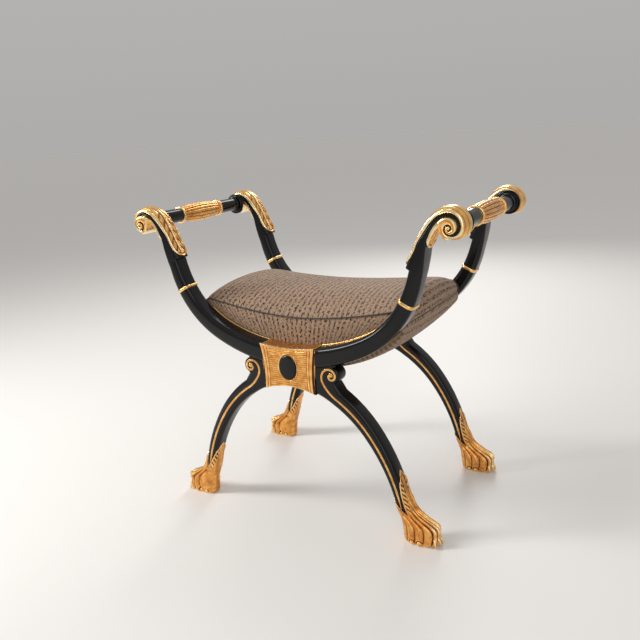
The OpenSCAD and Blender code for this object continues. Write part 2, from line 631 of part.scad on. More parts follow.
// Seat rails: curved like the arms, screwed to their inner faces
rail_over = 8.5; // top of the seat rails, above the arms' centre line
rail_n = rail_over - seat_rail_h / 2;
rail_short = 71; // the seat rails end this far before the gilt rings
seat_end = s_ring - rail_short; // where they end in a half round
rail_steps = 36;
function sided(d) = d < 0 ? let (p = arm_at(-d)) [-p[0], p[1], -p[2]] : arm_at(d);
function off_path(d, n) = flat_point(sided(d), n);
rail_top = rail_n + seat_rail_h / 2;
rail_bottom = rail_n - seat_rail_h / 2;
rail_end = off_path(seat_end, rail_n); // the middle of the half round
end_turn = sided(seat_end)[2];
rail_arc = [-60, -30, 0, 30, 60]; // directions of the half round's points
function end_reach(a) = rail_end + seat_rail_h / 2 * [cos(end_turn + a), sin(end_turn + a)];
module rail_outline() {
    polygon(concat([for (d = span(-seat_end, seat_end, rail_steps)) off_path(d, rail_bottom)],
        [for (a = rail_arc) [end_reach(a)[0], end_reach(a)[1]]],
        [for (d = span(seat_end, -seat_end, rail_steps)) off_path(d, rail_top)],
        [for (i = [len(rail_arc) - 1:-1:0]) [-end_reach(rail_arc[i])[0], end_reach(rail_arc[i])[1]]]));
}
head_t = 3;
screw_places = [seat_end * 0.4, seat_end * 0.85]; // along the arms
module at_screws() {
    for (side = [-1, 1], d = screw_places) translate([side * off_path(d, rail_n)[0], 0, off_path(d, rail_n)[1]])
        rotate([-90, 0, 0]) children();
}
module seat_rail() {
    color(beech) difference() {
        plate(half_d, half_d + seat_rail_t) rail_outline();
        translate([0, half_d - cut, 0]) at_screws() cylinder(d = screw_d + 2 * fit, h = seat_rail_t + 2 * cut);
        translate([0, half_d + seat_rail_t - head_t - fit, 0]) at_screws()
            cylinder(d = screw_head_d + 2 * fit, h = head_t + cut);
    }
}
module seat_screw_row() {
    y1 = half_d + seat_rail_t - head_t;
    color(steel) {
        translate([0, y1, 0]) at_screws() cylinder(d = screw_head_d, h = head_t);
        translate([0, y1 - screw_l, 0]) at_screws() cylinder(d = screw_d, h = screw_l + cut);
    }
}
// Round rail across each end of the seat, between the two seat rails
end_rail_l = 2 * (inner_y - seat_rail_t);
module end_rail(side) {
    color(beech) at_side(side) translate([rail_end[0], 0, rail_end[1]]) rotate([90, 0, 0])
        cylinder(d = seat_rail_h - cut, h = end_rail_l, center = true);
}
// Slats across the seat rails. A flat slat on the curved rail stands clear in its middle.
slat_n = 10;
slat_inset = 10; // from the last slat to the end of the rails
slat_reach = seat_end - slat_w / 2 - slat_inset;
module slats() {
    color(beech) for (d = span(-slat_reach, slat_reach, slat_n - 1)) let (p = sided(d))
        translate([p[0], 0, p[1]]) rotate([0, -p[2], 0])
            translate([-slat_w / 2, -inner_y + cut, rail_top + slat_rise])
                cube([slat_w, 2 * (inner_y - cut), slat_t]);
}
module stretcher() {
    l = 2 * (inner_y - glue);
    color(black) translate([0, 0, stretcher_z]) rotate([90, 0, 0]) {
        cylinder(d = stretcher_d, h = l, center = true);
        cylinder(d = stretcher_tenon_d, h = l + 2 * stretcher_tenon_l, center = true);
    }
}

// Cushion. Its outline in X and Z changes from the seams to the middle: a dished top that rolls over
// the rounded ends. v is 0 at the middle of the seat and 1 at a seam.
seam_y = inner_y - piping_d - 4 * gap; // the seams, from the middle
border_y = inner_y - gap * 3; // the border's fullest part
seam_z = arc_z + seam_rise;
slat_bow = slat_w * slat_w / 8 / (rise_r - rail_top); // a flat slat's middle above the curved rail
slat_rise = slat_bow + gap;
pad_gap = slat_rise + slat_t + slat_bow + gap; // the cushion's base above the seat rails
dish_power = 1.7;
end_crown_share = 0.6; // how much of the crown is left over the rounded ends
nose_x = rail_end[0] - nose_set;
nose_z = rail_end[1] + nose_over;
nose_top = 90 + atan(dish_power * (nose_z + nose_edge_r - seam_z) / nose_x);
nose_end = -20;
wrap_end = 24; // the lower path ends in this direction from the rail's end
nose_n = 8;
top_n = 9;
function crown_share(v) = pow(max(0, 1 - v * v), 0.6);
function nose_r(f) = nose_edge_r + (nose_mid_r - nose_edge_r) * f;
function nose_mid(f) = [nose_x - (nose_mid_r - nose_edge_r) * f / 3,
    nose_z + (crown_h * end_crown_share - nose_mid_r + nose_edge_r) * f];
function nose_pt(f, a) = nose_mid(f) + nose_r(f) * [cos(a), sin(a)];
function top_z(x, f) = let (e = nose_pt(f, nose_top), k = pow(abs(x) / e[0], dish_power))
    seam_z + crown_h * f + (e[1] - seam_z - crown_h * f) * k;
// Upper path from the middle to the right end, and the lower path below it, with as many points
function pad_top(f, sink) = let (e = nose_pt(f, nose_top)) concat(
    [for (i = [0:top_n - 1]) let (x = e[0] * i / top_n) [x, top_z(x, f) - sink]],
    [for (i = [0:nose_n]) let (a = nose_top + (nose_end - nose_top) * i / nose_n)
        nose_pt(f, a) - sink * (1 - i / nose_n) * [cos(a), sin(a)]]);
base_flat = 14; // how much of the lower path lies along the slats
wrap_n = top_n + nose_n - base_flat;
wrap_r = seat_rail_h / 2 + 2 * gap;
pad_short = 8; // the base leaves the slats this far before the rails end
pad_base_end = seat_end - pad_short;
function pad_base() = concat(
    [for (i = [0:base_flat - 1]) off_path(pad_base_end * i / (base_flat - 1), rail_top + pad_gap)],
    [for (i = [0:wrap_n]) let (a = end_turn + 70 + (wrap_end - end_turn - 70) * i / wrap_n)
        rail_end + (wrap_r + (i == 0 ? pad_gap / 2 : 0)) * [cos(a), sin(a)]]);
function both_sides(v) = concat([for (i = [len(v) - 1:-1:1]) [-v[i][0], v[i][1]]], v);
function pad_row(y, top, base) = concat([for (q = top) [q[0], y, q[1]]],
    [for (i = [len(base) - 1:-1:0]) [base[i][0], y, base[i][1]]]);
seam_drop = 6; // the border is fullest this far under the seam
pad_shares = [0, 0.22, 0.43, 0.62, 0.78, 0.9, 0.97, 1];
pad_ys = concat([border_y], [for (i = [len(pad_shares) - 1:-1:1]) pad_shares[i] * seam_y],
    [for (q = pad_shares) -q * seam_y], [-border_y]);
function pad_sink(y) = abs(y) > seam_y ? seam_drop : 0;
module cushion() {
    base = both_sides(pad_base());
    rows = [for (y = pad_ys) let (f = crown_share(min(1, abs(y) / seam_y)))
        pad_row(y, both_sides(pad_top(f, pad_sink(y))), base)];
    color(taupe) loft(rows, strips = true);
}
// Piping along the seams
module piping() {
    off = piping_d / 2 + gap;
    path = both_sides(pad_top(0, 0));
    n = len(path);
    rings = [for (i = [0:n - 1]) let (a = path[max(0, i - 1)], b = path[min(n - 1, i + 1)],
        h = atan2(b[1] - a[1], b[0] - a[0])) [[path[i][0], path[i][1], h], off, frame_y - seam_y - off]];
    color(taupe * 0.6) tube(rings, piping_d / 2);
}
// Padded underside, below the seat rails
belly_steps = 10;
belly_end_share = 0.45; // how full the underside still is at its ends
belly_mid_share = 0.35; // how much of its crown is left over the stretcher
belly_shares = [1, 0.92, 0.7, 0.35, 0, -0.35, -0.7, -0.92, -1];
belly_top = rail_bottom - 2 * gap;
function belly_n(d, f) = let (k = abs(d) / seat_end, full = arm_base_h / 2 + belly_top + belly_h,
    crown = belly_crown * f * lookup(abs(d), [[0, belly_mid_share], [block_w, 1]]))
    belly_top - (full + crown) * (1 - (1 - belly_end_share) * pow(k, 4));
hem_n = 4;
hem_from = end_turn - 90;
hem_to = wrap_end - 6;
hem_out = 2; // least thickness of the underside at the ends
// Distance of the underside's surface from the middle of the rail's end, by direction
function hem_r(a, f) = lookup(a, [[hem_from, rail_n - belly_n(seat_end, f)],
    [0, wrap_r + hem_out + (belly_h - hem_out) * f],
    [hem_to, wrap_r + hem_out + (nose_mid_r - wrap_r - belly_crown) * f]]);
function hem_pt(a, r) = rail_end + r * [cos(a), sin(a)];
function hem_turn(i) = hem_from + (hem_to - hem_from) * i / hem_n;
function belly_path(f) = concat([for (d = span(0, seat_end, belly_steps)) off_path(d, belly_n(d, f))],
    [for (i = [1:hem_n]) hem_pt(hem_turn(i), hem_r(hem_turn(i), f))]);
module underside() {
    top = both_sides(concat([for (d = span(0, seat_end, belly_steps)) off_path(d, belly_top)],
        [for (i = [1:hem_n]) hem_pt(hem_turn(i), wrap_r)]));
    color(taupe) loft(strips = true, rings = [for (t = belly_shares)
        pad_row(t * border_y, top, both_sides(belly_path(crown_share(t))))]);
}

at_corner(-1, -1) arm();  // front_left_arm
at_corner(1, -1) arm();  // front_right_arm
at_corner(-1, 1) arm();  // rear_left_arm
at_corner(1, 1) arm();  // rear_right_arm
at_corner(-1, -1) leg();  // front_left_leg
at_corner(1, -1) leg();  // front_right_leg
at_corner(-1, 1) leg();  // rear_left_leg
at_corner(1, 1) leg();  // rear_right_leg
at_corner(-1, -1) paw();  // front_left_paw
at_corner(1, -1) paw();  // front_right_paw
at_corner(-1, 1) paw();  // rear_left_paw
at_corner(1, 1) paw();  // rear_right_paw
at_corner(-1, -1) leaf();  // front_left_leaf
at_corner(1, -1) leaf();  // front_right_leaf
at_corner(-1, 1) leaf();  // rear_left_leaf
at_corner(1, 1) leaf();  // rear_right_leaf
at_corner(-1, -1) volute();  // front_left_volute
at_corner(1, -1) volute();  // front_right_volute
at_corner(-1, 1) volute();  // rear_left_volute
at_corner(1, 1) volute();  // rear_right_volute
at_corner(-1, -1) arm_ring_collar();  // front_left_arm_ring
at_corner(1, -1) arm_ring_collar();  // front_right_arm_ring
at_corner(-1, 1) arm_ring_collar();  // rear_left_arm_ring
at_corner(1, 1) arm_ring_collar();  // rear_right_arm_ring
at_corner(-1, -1) leg_line();  // front_left_leg_line
at_corner(1, -1) leg_line();  // front_right_leg_line
at_corner(-1, 1) leg_line();  // rear_left_leg_line
at_corner(1, 1) leg_line();  // rear_right_leg_line
at_face(-1) block();  // front_block
at_face(1) block();  // rear_block
at_face(-1) tablet();  // front_tablet
at_face(1) tablet();  // rear_tablet
at_face(-1) medallion();  // front_medallion
at_face(1) medallion();  // rear_medallion
at_corner(-1, -1) handrail();  // front_left_handrail
at_corner(1, -1) handrail();  // front_right_handrail
at_corner(-1, 1) handrail();  // rear_left_handrail
at_corner(1, 1) handrail();  // rear_right_handrail
at_face(-1) bead();  // front_bead
at_face(1) bead();  // rear_bead
at_face(-1) piping();  // front_piping
at_face(1) piping();  // rear_piping
at_face(-1) seat_rail();  // front_seat_rail
at_face(1) seat_rail();  // rear_seat_rail
barrel(-1);  // left_barrel
barrel(1);  // right_barrel
barrel_ring_pair(-1);  // left_barrel_rings
barrel_ring_pair(1);  // right_barrel_rings
end_rail(-1);  // left_end_rail
end_rail(1);  // right_end_rail
cushion();  // seat_cushion
underside();  // seat_underside
slats();  // seat_slats
for (face = [-1, 1]) at_face(face) seat_screw_row();  // seat_screws
stretcher();
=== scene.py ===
import math

import bpy
import numpy as np
from mathutils import Matrix, Vector
from mathutils.geometry import tessellate_polygon


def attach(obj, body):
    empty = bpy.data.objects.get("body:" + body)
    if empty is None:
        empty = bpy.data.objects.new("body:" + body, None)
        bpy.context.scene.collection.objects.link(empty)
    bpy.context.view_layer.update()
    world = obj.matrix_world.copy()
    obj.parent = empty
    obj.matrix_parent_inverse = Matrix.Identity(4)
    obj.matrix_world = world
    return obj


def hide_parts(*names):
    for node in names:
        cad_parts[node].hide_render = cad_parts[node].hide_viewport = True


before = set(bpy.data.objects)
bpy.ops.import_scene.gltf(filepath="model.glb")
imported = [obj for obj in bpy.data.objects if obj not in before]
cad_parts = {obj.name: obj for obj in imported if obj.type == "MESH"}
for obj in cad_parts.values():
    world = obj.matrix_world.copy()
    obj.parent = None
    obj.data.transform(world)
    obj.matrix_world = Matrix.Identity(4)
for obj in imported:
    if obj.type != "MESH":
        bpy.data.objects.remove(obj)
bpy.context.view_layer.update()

metre = 0.001    # shapes are worked out in millimetres
body = "bench"
sides = {"left": -1, "right": 1}
faces = {"front": -1, "rear": 1}
bench = {
    "frameY": 173.5,       # from the middle of the bench to the middle of a frame
    "halfDepth": 20.0,     # half the thickness of a frame
    "clear": 0.3,          # between pieces that lie on each other
}


def grid(x, y, z):
    return np.stack(np.broadcast_arrays(x, y, z), axis=-1)


def circle(count):
    return np.linspace(0, 2 * math.pi, count, endpoint=False)


def oval(middle, halfX, halfZ, count):
    a = circle(count)
    return np.stack([middle[0] + halfX * np.cos(a), middle[1] + halfZ * np.sin(a)], axis=-1)


def unit(vectors):
    return vectors / (np.linalg.norm(vectors, axis=-1)[..., None] + 1e-9)


def facing(points, corners):
    # Normals of triangles, each twice as long as the area
    a, b, c = (points[corners[:, k]] for k in range(3))
    return np.cross(b - a, c - a)


def ease(low, high, value):
    # 3t^2 - 2t^3, from 0 below the first bound to 1 above the second
    t = np.clip((value - low) / (high - low), 0, 1)
    return t * t * (3 - 2 * t)


def hump(rises, falls, value):
    return ease(*rises, value) * (1 - ease(*falls, value))


def bump(value, middle, width):
    return np.exp(-((value - middle) / width) ** 2)


def ridge(value, middle, half):
    # A half round bar: the square root of 1 - t^2 inside its half width
    return np.sqrt(np.clip(1 - ((value - middle) / half) ** 2, 0, 1))


def summed(form, value, rows):
    # Bumps or ridges added up, from rows of height, middle and width
    return sum(height * form(value, middle, width) for height, middle, width in rows)


def knotted(pairs, at):
    return np.interp(at, *np.array(pairs).T)


def smoothThrough(knots, values, at):
    # Cubic between neighbouring knots, with the slope at a knot taken from the knots on either side
    slope = np.gradient(values, knots)
    k = np.clip(np.searchsorted(knots, at, side="right") - 1, 0, len(knots) - 2)
    step = knots[k + 1] - knots[k]
    t = (at - knots[k]) / step
    return ((2 * t**3 - 3 * t**2 + 1) * values[k] + (t**3 - 2 * t**2 + t) * step * slope[k]
            + (3 * t**2 - 2 * t**3) * values[k + 1] + (t**3 - t**2) * step * slope[k + 1])


# A shape is a dictionary of points, of quads and triangles by point number, and of the relief that tones gilding

def triangles(shape):
    quads = shape["quads"]
    return np.concatenate([shape["tris"], quads[:, [0, 1, 2]], quads[:, [0, 2, 3]]])


def flipped(shape):
    return {**shape, "quads": shape["quads"][:, ::-1], "tris": shape["tris"][:, ::-1]}


def orient(shape):
    # Six times the volume is the sum of a . (b x c) over the faces; below nought the faces point inwards
    a, b, c = (shape["points"][triangles(shape)[:, k]] for k in range(3))
    return shape if np.einsum("ij,ij->i", a, np.cross(b, c)).sum() > 0 else flipped(shape)


def quadsBetween(lower, upper):
    corners = [lower, upper, np.roll(upper, -1, axis=1), np.roll(lower, -1, axis=1)]
    return np.stack(corners, axis=-1).reshape(-1, 4)


def ringShape(rings, relief=0.7, cloth=None, closed=False):
    # Loops of points joined by quads. The ends are fans round their middles, or the last loop meets the first
    count, around = rings.shape[:2]
    here = np.arange(count * around).reshape(count, around)
    quads = quadsBetween(here, np.roll(here, -1, axis=0))[:around * (count if closed else count - 1)]
    fields = {"points": rings} if cloth is None else {"points": rings, "cloth": cloth}
    shape = {key: values.reshape(-1, 3) for key, values in fields.items()}
    tris = np.zeros((0, 3), int)
    if not closed:
        ahead = np.roll(here, -1, axis=1)
        first = np.full(around, count * around)
        tris = np.concatenate([np.stack([first, here[0], ahead[0]], axis=-1),
                               np.stack([first + 1, ahead[-1], here[-1]], axis=-1)])
        for key, values in fields.items():
            shape[key] = np.concatenate([shape[key], values[[0, -1]].mean(axis=1)])
    return orient({**shape, "quads": quads, "tris": tris, "relief": np.full(len(shape["points"]), relief)})


def joined(shapes):
    starts = np.cumsum([0] + [len(s["points"]) for s in shapes])
    whole = {key: np.concatenate([s[key] for s in shapes]) for key in ("points", "relief")}
    for key in ("quads", "tris"):
        whole[key] = np.concatenate([s[key] + start for s, start in zip(shapes, starts)])
    return whole


def agedAndShaded(shape, passes, dark=0.75, bright=0.45, base=0.58):
    # Points are averaged with their neighbours some times over, which smooths the shape. How far a point stands
    # out of the smoothed shape, along its normal, sets its tone: crests are rubbed bright with a painted
    # highlight, and hollows are dark with dirt and painted shade
    points, loops = shape["points"], (shape["quads"], shape["tris"])
    starts = np.concatenate([loop.ravel() for loop in loops])
    ends = np.concatenate([np.roll(loop, -1, axis=1).ravel() for loop in loops])

    def gathered(places, values):
        return np.stack([np.bincount(places, values[:, axis], len(points)) for axis in range(3)], axis=-1)

    near = np.maximum(np.bincount(starts, minlength=len(points)), 1)[:, None]
    soft = points
    for step in range(passes):
        soft = (soft + gathered(starts, soft[ends]) / near) / 2
    corners = triangles(shape)
    normal = unit(gathered(corners.ravel(), np.repeat(facing(points, corners), 3, axis=0)))
    proud = np.einsum("ij,ij->i", points - soft, normal)
    return {**shape, "relief": np.clip(base + np.where(proud < 0, dark, bright) * proud, 0.02, 1)}


def mirrored(shape, x=1, y=1):
    # An odd number of mirrors turns the faces
    whole = {**shape, "points": shape["points"] * [x, y, 1]}
    return whole if x * y > 0 else flipped(whole)


def placed(shape, side, face):
    # Takes a shape of the front right corner, worked out about the middle of its frame, to any corner
    whole = mirrored(shape, side, -face)
    return {**whole, "points": whole["points"] + [0, face * bench["frameY"], 0]}


def addPiece(name, shape, slot, *nodes, sharp=38):
    points, quads, tris = shape["points"], shape["quads"], shape["tris"]
    mesh = bpy.data.meshes.new(name)
    corners = np.concatenate([quads.ravel(), tris.ravel()]).astype(np.int32)
    starts = np.concatenate([np.arange(len(quads)) * 4, len(quads) * 4 + np.arange(len(tris)) * 3])
    mesh.vertices.add(len(points))
    mesh.vertices.foreach_set("co", (points * metre).astype(np.float32).ravel())
    mesh.loops.add(len(corners))
    mesh.loops.foreach_set("vertex_index", corners)
    mesh.polygons.add(len(starts))
    mesh.polygons.foreach_set("loop_start", starts.astype(np.int32))
    mesh.polygons.foreach_set("use_smooth", np.ones(len(starts), bool))
    mesh.update(calc_edges=True)
    mesh.set_sharp_from_angle(angle=math.radians(sharp))
    mesh.attributes.new("relief", "FLOAT", "POINT").data.foreach_set("value", shape["relief"].astype(np.float32))
    if "cloth" in shape:
        flat = shape["cloth"].astype(np.float32).ravel()
        mesh.attributes.new("cloth", "FLOAT_VECTOR", "POINT").data.foreach_set("vector", flat)
    mesh.materials.append(finishes[slot])
    piece = bpy.data.objects.new(name, mesh)
    bpy.context.scene.collection.objects.link(piece)
    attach(piece, body)
    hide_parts(*nodes)
    return piece


def addCorners(name, shape, slot, node, sharp=38):
    for sideName, side in sides.items():
        for faceName, face in faces.items():
            corner = f"{faceName}_{sideName}_"
            addPiece(corner + name, placed(shape, side, face), slot, corner + node, sharp=sharp)


def addFaces(name, shape, slot, node):
    for faceName, face in faces.items():
        addPiece(f"{faceName}_{name}", placed(shape, 1, face), slot, f"{faceName}_{node}")


# A path is a start (x, z, heading in degrees) and a chain of segments (radius, turn in degrees, or a length)

def walk(path, distance):
    # Places on a path, as x, z and heading. On an arc of radius r the heading turns by distance / r
    distance = np.asarray(distance, float)
    x, z, heading = np.zeros((3,) + distance.shape)
    x0, z0, bearing = path["start"][0], path["start"][1], math.radians(path["start"][2])
    passed = 0.0
    for number, (radius, turn, length) in enumerate(path["segments"]):
        here = (distance >= passed) | (number == 0)
        d = distance[here] - passed
        if turn == 0:
            x[here] = x0 + d * math.cos(bearing)
            z[here] = z0 + d * math.sin(bearing)
            heading[here] = bearing
            x0, z0 = x0 + length * math.cos(bearing), z0 + length * math.sin(bearing)
            passed += length
            continue
        r = math.copysign(radius, turn)
        a = bearing + d / r
        x[here] = x0 + r * (np.sin(a) - math.sin(bearing))
        z[here] = z0 - r * (np.cos(a) - math.cos(bearing))
        heading[here] = a
        after = bearing + math.radians(turn)
        x0, z0 = x0 + r * (math.sin(after) - math.sin(bearing)), z0 - r * (math.cos(after) - math.cos(bearing))
        bearing = after
        passed += radius * abs(math.radians(turn))
    return np.stack([x, z, heading], axis=-1)


def placeOn(path, distance):
    return walk(path, np.array([distance]))[0]


def pathLength(path, count):
    return sum(length if turn == 0 else radius * abs(math.radians(turn))
               for radius, turn, length in path["segments"][:count])


def carry(places, across, depth):
    # Square to the path: x - across * sin(heading), z + across * cos(heading)
    x, z, heading = places[..., 0], places[..., 1], places[..., 2]
    if across.ndim > x.ndim:
        x, z, heading = x[..., None], z[..., None], heading[..., None]
    return grid(x - across * np.sin(heading), depth, z + across * np.cos(heading))


def beside(path, d, across):
    # X and Z of the places at a distance across from a path
    return carry(walk(path, d), across, 0)[..., [0, 2]]


def roundedSection(half, front, back, radius, cornerPoints=11):
    # Quarter circles of the given radius at the corners of a rectangle, for each place along a path
    turn = np.concatenate([np.linspace(90 * q, 90 * q + 90, cornerPoints) for q in range(4)])
    outward = np.repeat([1, -1, -1, 1], cornerPoints)
    rear = np.repeat([1, 1, -1, -1], cornerPoints)
    half, front, back, radius = (np.asarray(v, float)[:, None] for v in (half, front, back, radius))
    across = outward * (half - radius) + radius * np.cos(np.radians(turn))
    depth = np.where(rear > 0, back - radius, -(front - radius)) + radius * np.sin(np.radians(turn))
    return across, depth


def turned(profile, centre, around=72):
    # A profile of [radius, depth] turned about a line that runs front to back through centre
    a = circle(around)
    radius, depth = profile[:, :1], profile[:, 1:]
    return ringShape(grid(centre[0] + radius * np.cos(a), depth, centre[1] + radius * np.sin(a)))


def dome(contour, centre, rows):
    # Copies of a contour, drawn in to its centre by each row's share and set at each row's depth
    share, depth = np.array(rows).T[:, :, None]
    x, z = (centre[k] + share * (contour[:, k] - centre[k]) for k in range(2))
    return ringShape(grid(x, depth, z))


def roundedPlate(outline, half, radius, steps=7):
    # The outline, drawn in by r (1 - cos t) where the depth is half - r (1 - sin t), and closed by flat faces
    normal = unit(np.roll(outline, -1, axis=0) - np.roll(outline, 1, axis=0))[:, [1, 0]] * [1, -1]
    t = np.linspace(0, math.pi / 2, steps)
    inset = radius * (1 - np.cos(t))
    depth = half - radius * (1 - np.sin(t))
    inset, depth = np.concatenate([inset[::-1], inset]), np.concatenate([depth[::-1], -depth])
    drawn = outline[None] - normal[None] * inset[:, None, None]
    points = grid(drawn[..., 0], depth[:, None], drawn[..., 1]).reshape(-1, 3)
    count = len(outline)
    here = np.arange(len(points)).reshape(-1, count)
    quads = quadsBetween(here[:-1], here[1:])
    flat = np.array(tessellate_polygon([[Vector((x, z, 0)) for x, z in drawn[0]]]))
    outward = facing(points, quads[:count])[:, 1].sum()
    back = flat if facing(points, flat)[:, 1].sum() * outward > 0 else flat[:, ::-1]
    tris = np.concatenate([back, back[:, ::-1] + here[-1, 0]])
    return orient({"points": points, "quads": quads, "tris": tris, "relief": np.full(len(points), 0.7)})


def addNode(tree, kind, inputs=None, **settings):
    node = tree.nodes.new(kind)
    for key, value in settings.items():
        setattr(node, key, value)
    for key, value in (inputs or {}).items():
        if isinstance(value, bpy.types.NodeSocket):
            tree.links.new(value, node.inputs[key])
        else:
            node.inputs[key].default_value = value
    return node


def calc(tree, operation, *values):
    return addNode(tree, "ShaderNodeMath", dict(enumerate(values)), operation=operation).outputs[0]


def noise(tree, place, scale, detail, roughness):
    inputs = {"Vector": place, "Scale": scale, "Detail": detail, "Roughness": roughness}
    return addNode(tree, "ShaderNodeTexNoise", inputs).outputs["Fac"]


def ramp(tree, factor, stops):
    node = addNode(tree, "ShaderNodeValToRGB", {"Fac": factor})
    elements = node.color_ramp.elements
    for place, colour in stops[2:]:
        elements.new(place)
    for element, (place, colour) in zip(sorted(elements, key=lambda e: e.position), sorted(stops)):
        element.position = place
        element.color = (*colour, 1)
    return node.outputs["Color"]


def remap(tree, value, low, high, toLow, toHigh):
    inputs = {"Value": value, "From Min": low, "From Max": high, "To Min": toLow, "To Max": toHigh}
    return addNode(tree, "ShaderNodeMapRange", inputs).outputs["Result"]


def feed(tree, shader, values):
    for label, value in values.items():
        tree.links.new(value, shader.inputs[label])


def roughen(tree, shader, height, strength, distance):
    node = addNode(tree, "ShaderNodeBump", {"Height": height, "Strength": strength, "Distance": distance})
    feed(tree, shader, {"Normal": node.outputs["Normal"]})


def finish(name, sockets):
    material = bpy.data.materials.new(name)
    material.use_nodes = True
    shader = material.node_tree.nodes["Principled BSDF"]
    for label, value in sockets.items():
        shader.inputs[label].default_value = value
    return material, material.node_tree, shader


def newGroup(name, inputs, outputs):
    group = bpy.data.node_groups.new(name, "ShaderNodeTree")
    for label, kind, value in inputs:
        group.interface.new_socket(label, in_out="INPUT", socket_type=kind).default_value = value
    for label in outputs:
        group.interface.new_socket(label, in_out="OUTPUT", socket_type="NodeSocketFloat")
    return group, group.nodes.new("NodeGroupInput").outputs, group.nodes.new("NodeGroupOutput").inputs


def buildPatina():
    # Two sizes of noise on the object's own coordinates: slow patches of tone and a fine tooled grain
    inputs = [(label, "NodeSocketFloat", 1.0) for label in ("Patch Size", "Grain Size", "Contrast")]
    group, given, out = newGroup("patina", inputs, ("Patches", "Grain"))
    place = addNode(group, "ShaderNodeTexCoord").outputs["Object"]
    centred = calc(group, "SUBTRACT", noise(group, place, given["Patch Size"], 4.0, 0.6), 0.5)
    group.links.new(calc(group, "MULTIPLY", centred, given["Contrast"]), out["Patches"])
    group.links.new(noise(group, place, given["Grain Size"], 3.0, 0.55), out["Grain"])
    return group


def buildWeave():
    # Two sets of threads at right angles: the sines of both cloth coordinates, one times the other
    inputs = [("Place", "NodeSocketVector", (0, 0, 0)), ("Thread", "NodeSocketFloat", 0.9)]
    group, given, out = newGroup("weave", inputs, ("Height",))
    split = addNode(group, "ShaderNodeSeparateXYZ", {"Vector": given["Place"]}).outputs
    turns = calc(group, "DIVIDE", 2 * math.pi, given["Thread"])
    waves = [calc(group, "SINE", calc(group, "MULTIPLY", split[axis], turns)) for axis in ("X", "Y")]
    group.links.new(remap(group, calc(group, "MULTIPLY", *waves), -1, 1, 0, 1), out["Height"])
    return group


patina = buildPatina()
weave = buildWeave()


def addPatina(tree, patchSize, grainSize, contrast):
    inputs = {"Patch Size": patchSize, "Grain Size": grainSize, "Contrast": contrast}
    return addNode(tree, "ShaderNodeGroup", inputs, node_tree=patina).outputs


gildingLook = {
    # by relief: the darkest tones are dirt with painted shade in the hollows, the palest a painted highlight on
    # the crests
    "tones": [(0.0, (0.018, 0.005, 0.0015)), (0.20, (0.11, 0.030, 0.006)), (0.42, (0.43, 0.155, 0.030)),
              (0.60, (0.76, 0.335, 0.080)), (0.78, (0.94, 0.54, 0.18)), (1.0, (1.0, 0.82, 0.48))],
    "patina": (75.0, 420.0, 0.70), "bump": (0.35, 0.0009),
    "metallic": (0.1, 0.5, 0.35, 0.92),       # tones from and to, and the metallic values there
    "roughness": (0.1, 0.9, 0.46, 0.19),
}
fabricLook = {
    "column": 11.6,        # mm from one column of flecks to the next
    "fleck": 5.4,          # mm along a column for one fleck
    "stretch": (0.25, 0.2), "band": (0.24, 0.31), "inkFrom": (0.495, 0.535), "inkNoise": (2.0, 0.62),
    "ground": (0.43, 0.277, 0.172), "shade": (0.20, 0.122, 0.072), "ink": (0.020, 0.010, 0.006),
    "groundFrom": (0.1, 0.8),
    "thread": 0.9,         # mm from one thread to the next
    "patina": (190.0, 1400.0, 1.7), "bump": (0.30, 0.0006),
    "sockets": {"Roughness": 0.80, "Sheen Weight": 0.08, "Sheen Roughness": 0.5},
}
# Finishes of two tones by the patches of wear. Roughness may follow the patches or the grain too
wornLooks = {
    "ebonised_lacquer": {
        "tones": ((0.0016, 0.0016, 0.0021), (0.0045, 0.0042, 0.0046)), "toneFrom": (-0.2, 0.25),
        "roughness": ("Patches", -0.25, 0.25, 0.10, 0.22), "sockets": {"Specular IOR Level": 0.30},
        "patina": (22.0, 900.0, 1.0), "bump": (0.06, 0.0004)},
    "piping_cord": {
        "tones": ((0.022, 0.013, 0.010), (0.075, 0.045, 0.032)), "toneFrom": (-0.3, 0.3),
        "sockets": {"Roughness": 0.75, "Sheen Weight": 0.2},
        "patina": (300.0, 1600.0, 1.0), "bump": (0.5, 0.0006)},
    "screw_steel": {
        "tones": ((0.30, 0.30, 0.31), (0.58, 0.58, 0.60)), "toneFrom": (-0.3, 0.3),
        "roughness": ("Grain", 0.3, 0.7, 0.25, 0.45), "sockets": {"Metallic": 1.0},
        "patina": (260.0, 1500.0, 1.0)},
}
beechLook = {
    "stretch": (26.0, 6.0, 120.0), "rings": (1.0, 6.0, 0.65),
    "tones": [(0.3, (0.30, 0.165, 0.075)), (0.7, (0.52, 0.33, 0.17))],
    "patina": (40.0, 700.0, 0.5), "bump": (0.2, 0.0005),
}


def makeGilding(look):
    # Crests are bright metal with a painted highlight and hollows are dark with dirt and painted shade, by each
    # piece's relief and the patches of wear
    material, tree, shader = finish("aged_shaded_gilding", {})
    wearAndShading = addPatina(tree, *look["patina"])
    relief = addNode(tree, "ShaderNodeAttribute", attribute_name="relief").outputs["Fac"]
    tone = calc(tree, "ADD", relief, wearAndShading["Patches"])
    feed(tree, shader, {"Base Color": ramp(tree, tone, look["tones"]),
                        "Metallic": remap(tree, tone, *look["metallic"]),
                        "Roughness": remap(tree, tone, *look["roughness"])})
    roughen(tree, shader, wearAndShading["Grain"], *look["bump"])
    return material


def makeWorn(name):
    look = wornLooks[name]
    material, tree, shader = finish(name, look["sockets"])
    wearAndShading = addPatina(tree, *look["patina"])
    tone = remap(tree, wearAndShading["Patches"], *look["toneFrom"], 0.0, 1.0)
    feed(tree, shader, {"Base Color": ramp(tree, tone, list(enumerate(look["tones"])))})
    if "roughness" in look:
        source, *values = look["roughness"]
        feed(tree, shader, {"Roughness": remap(tree, wearAndShading[source], *values)})
    if "bump" in look:
        roughen(tree, shader, wearAndShading["Grain"], *look["bump"])
    return material


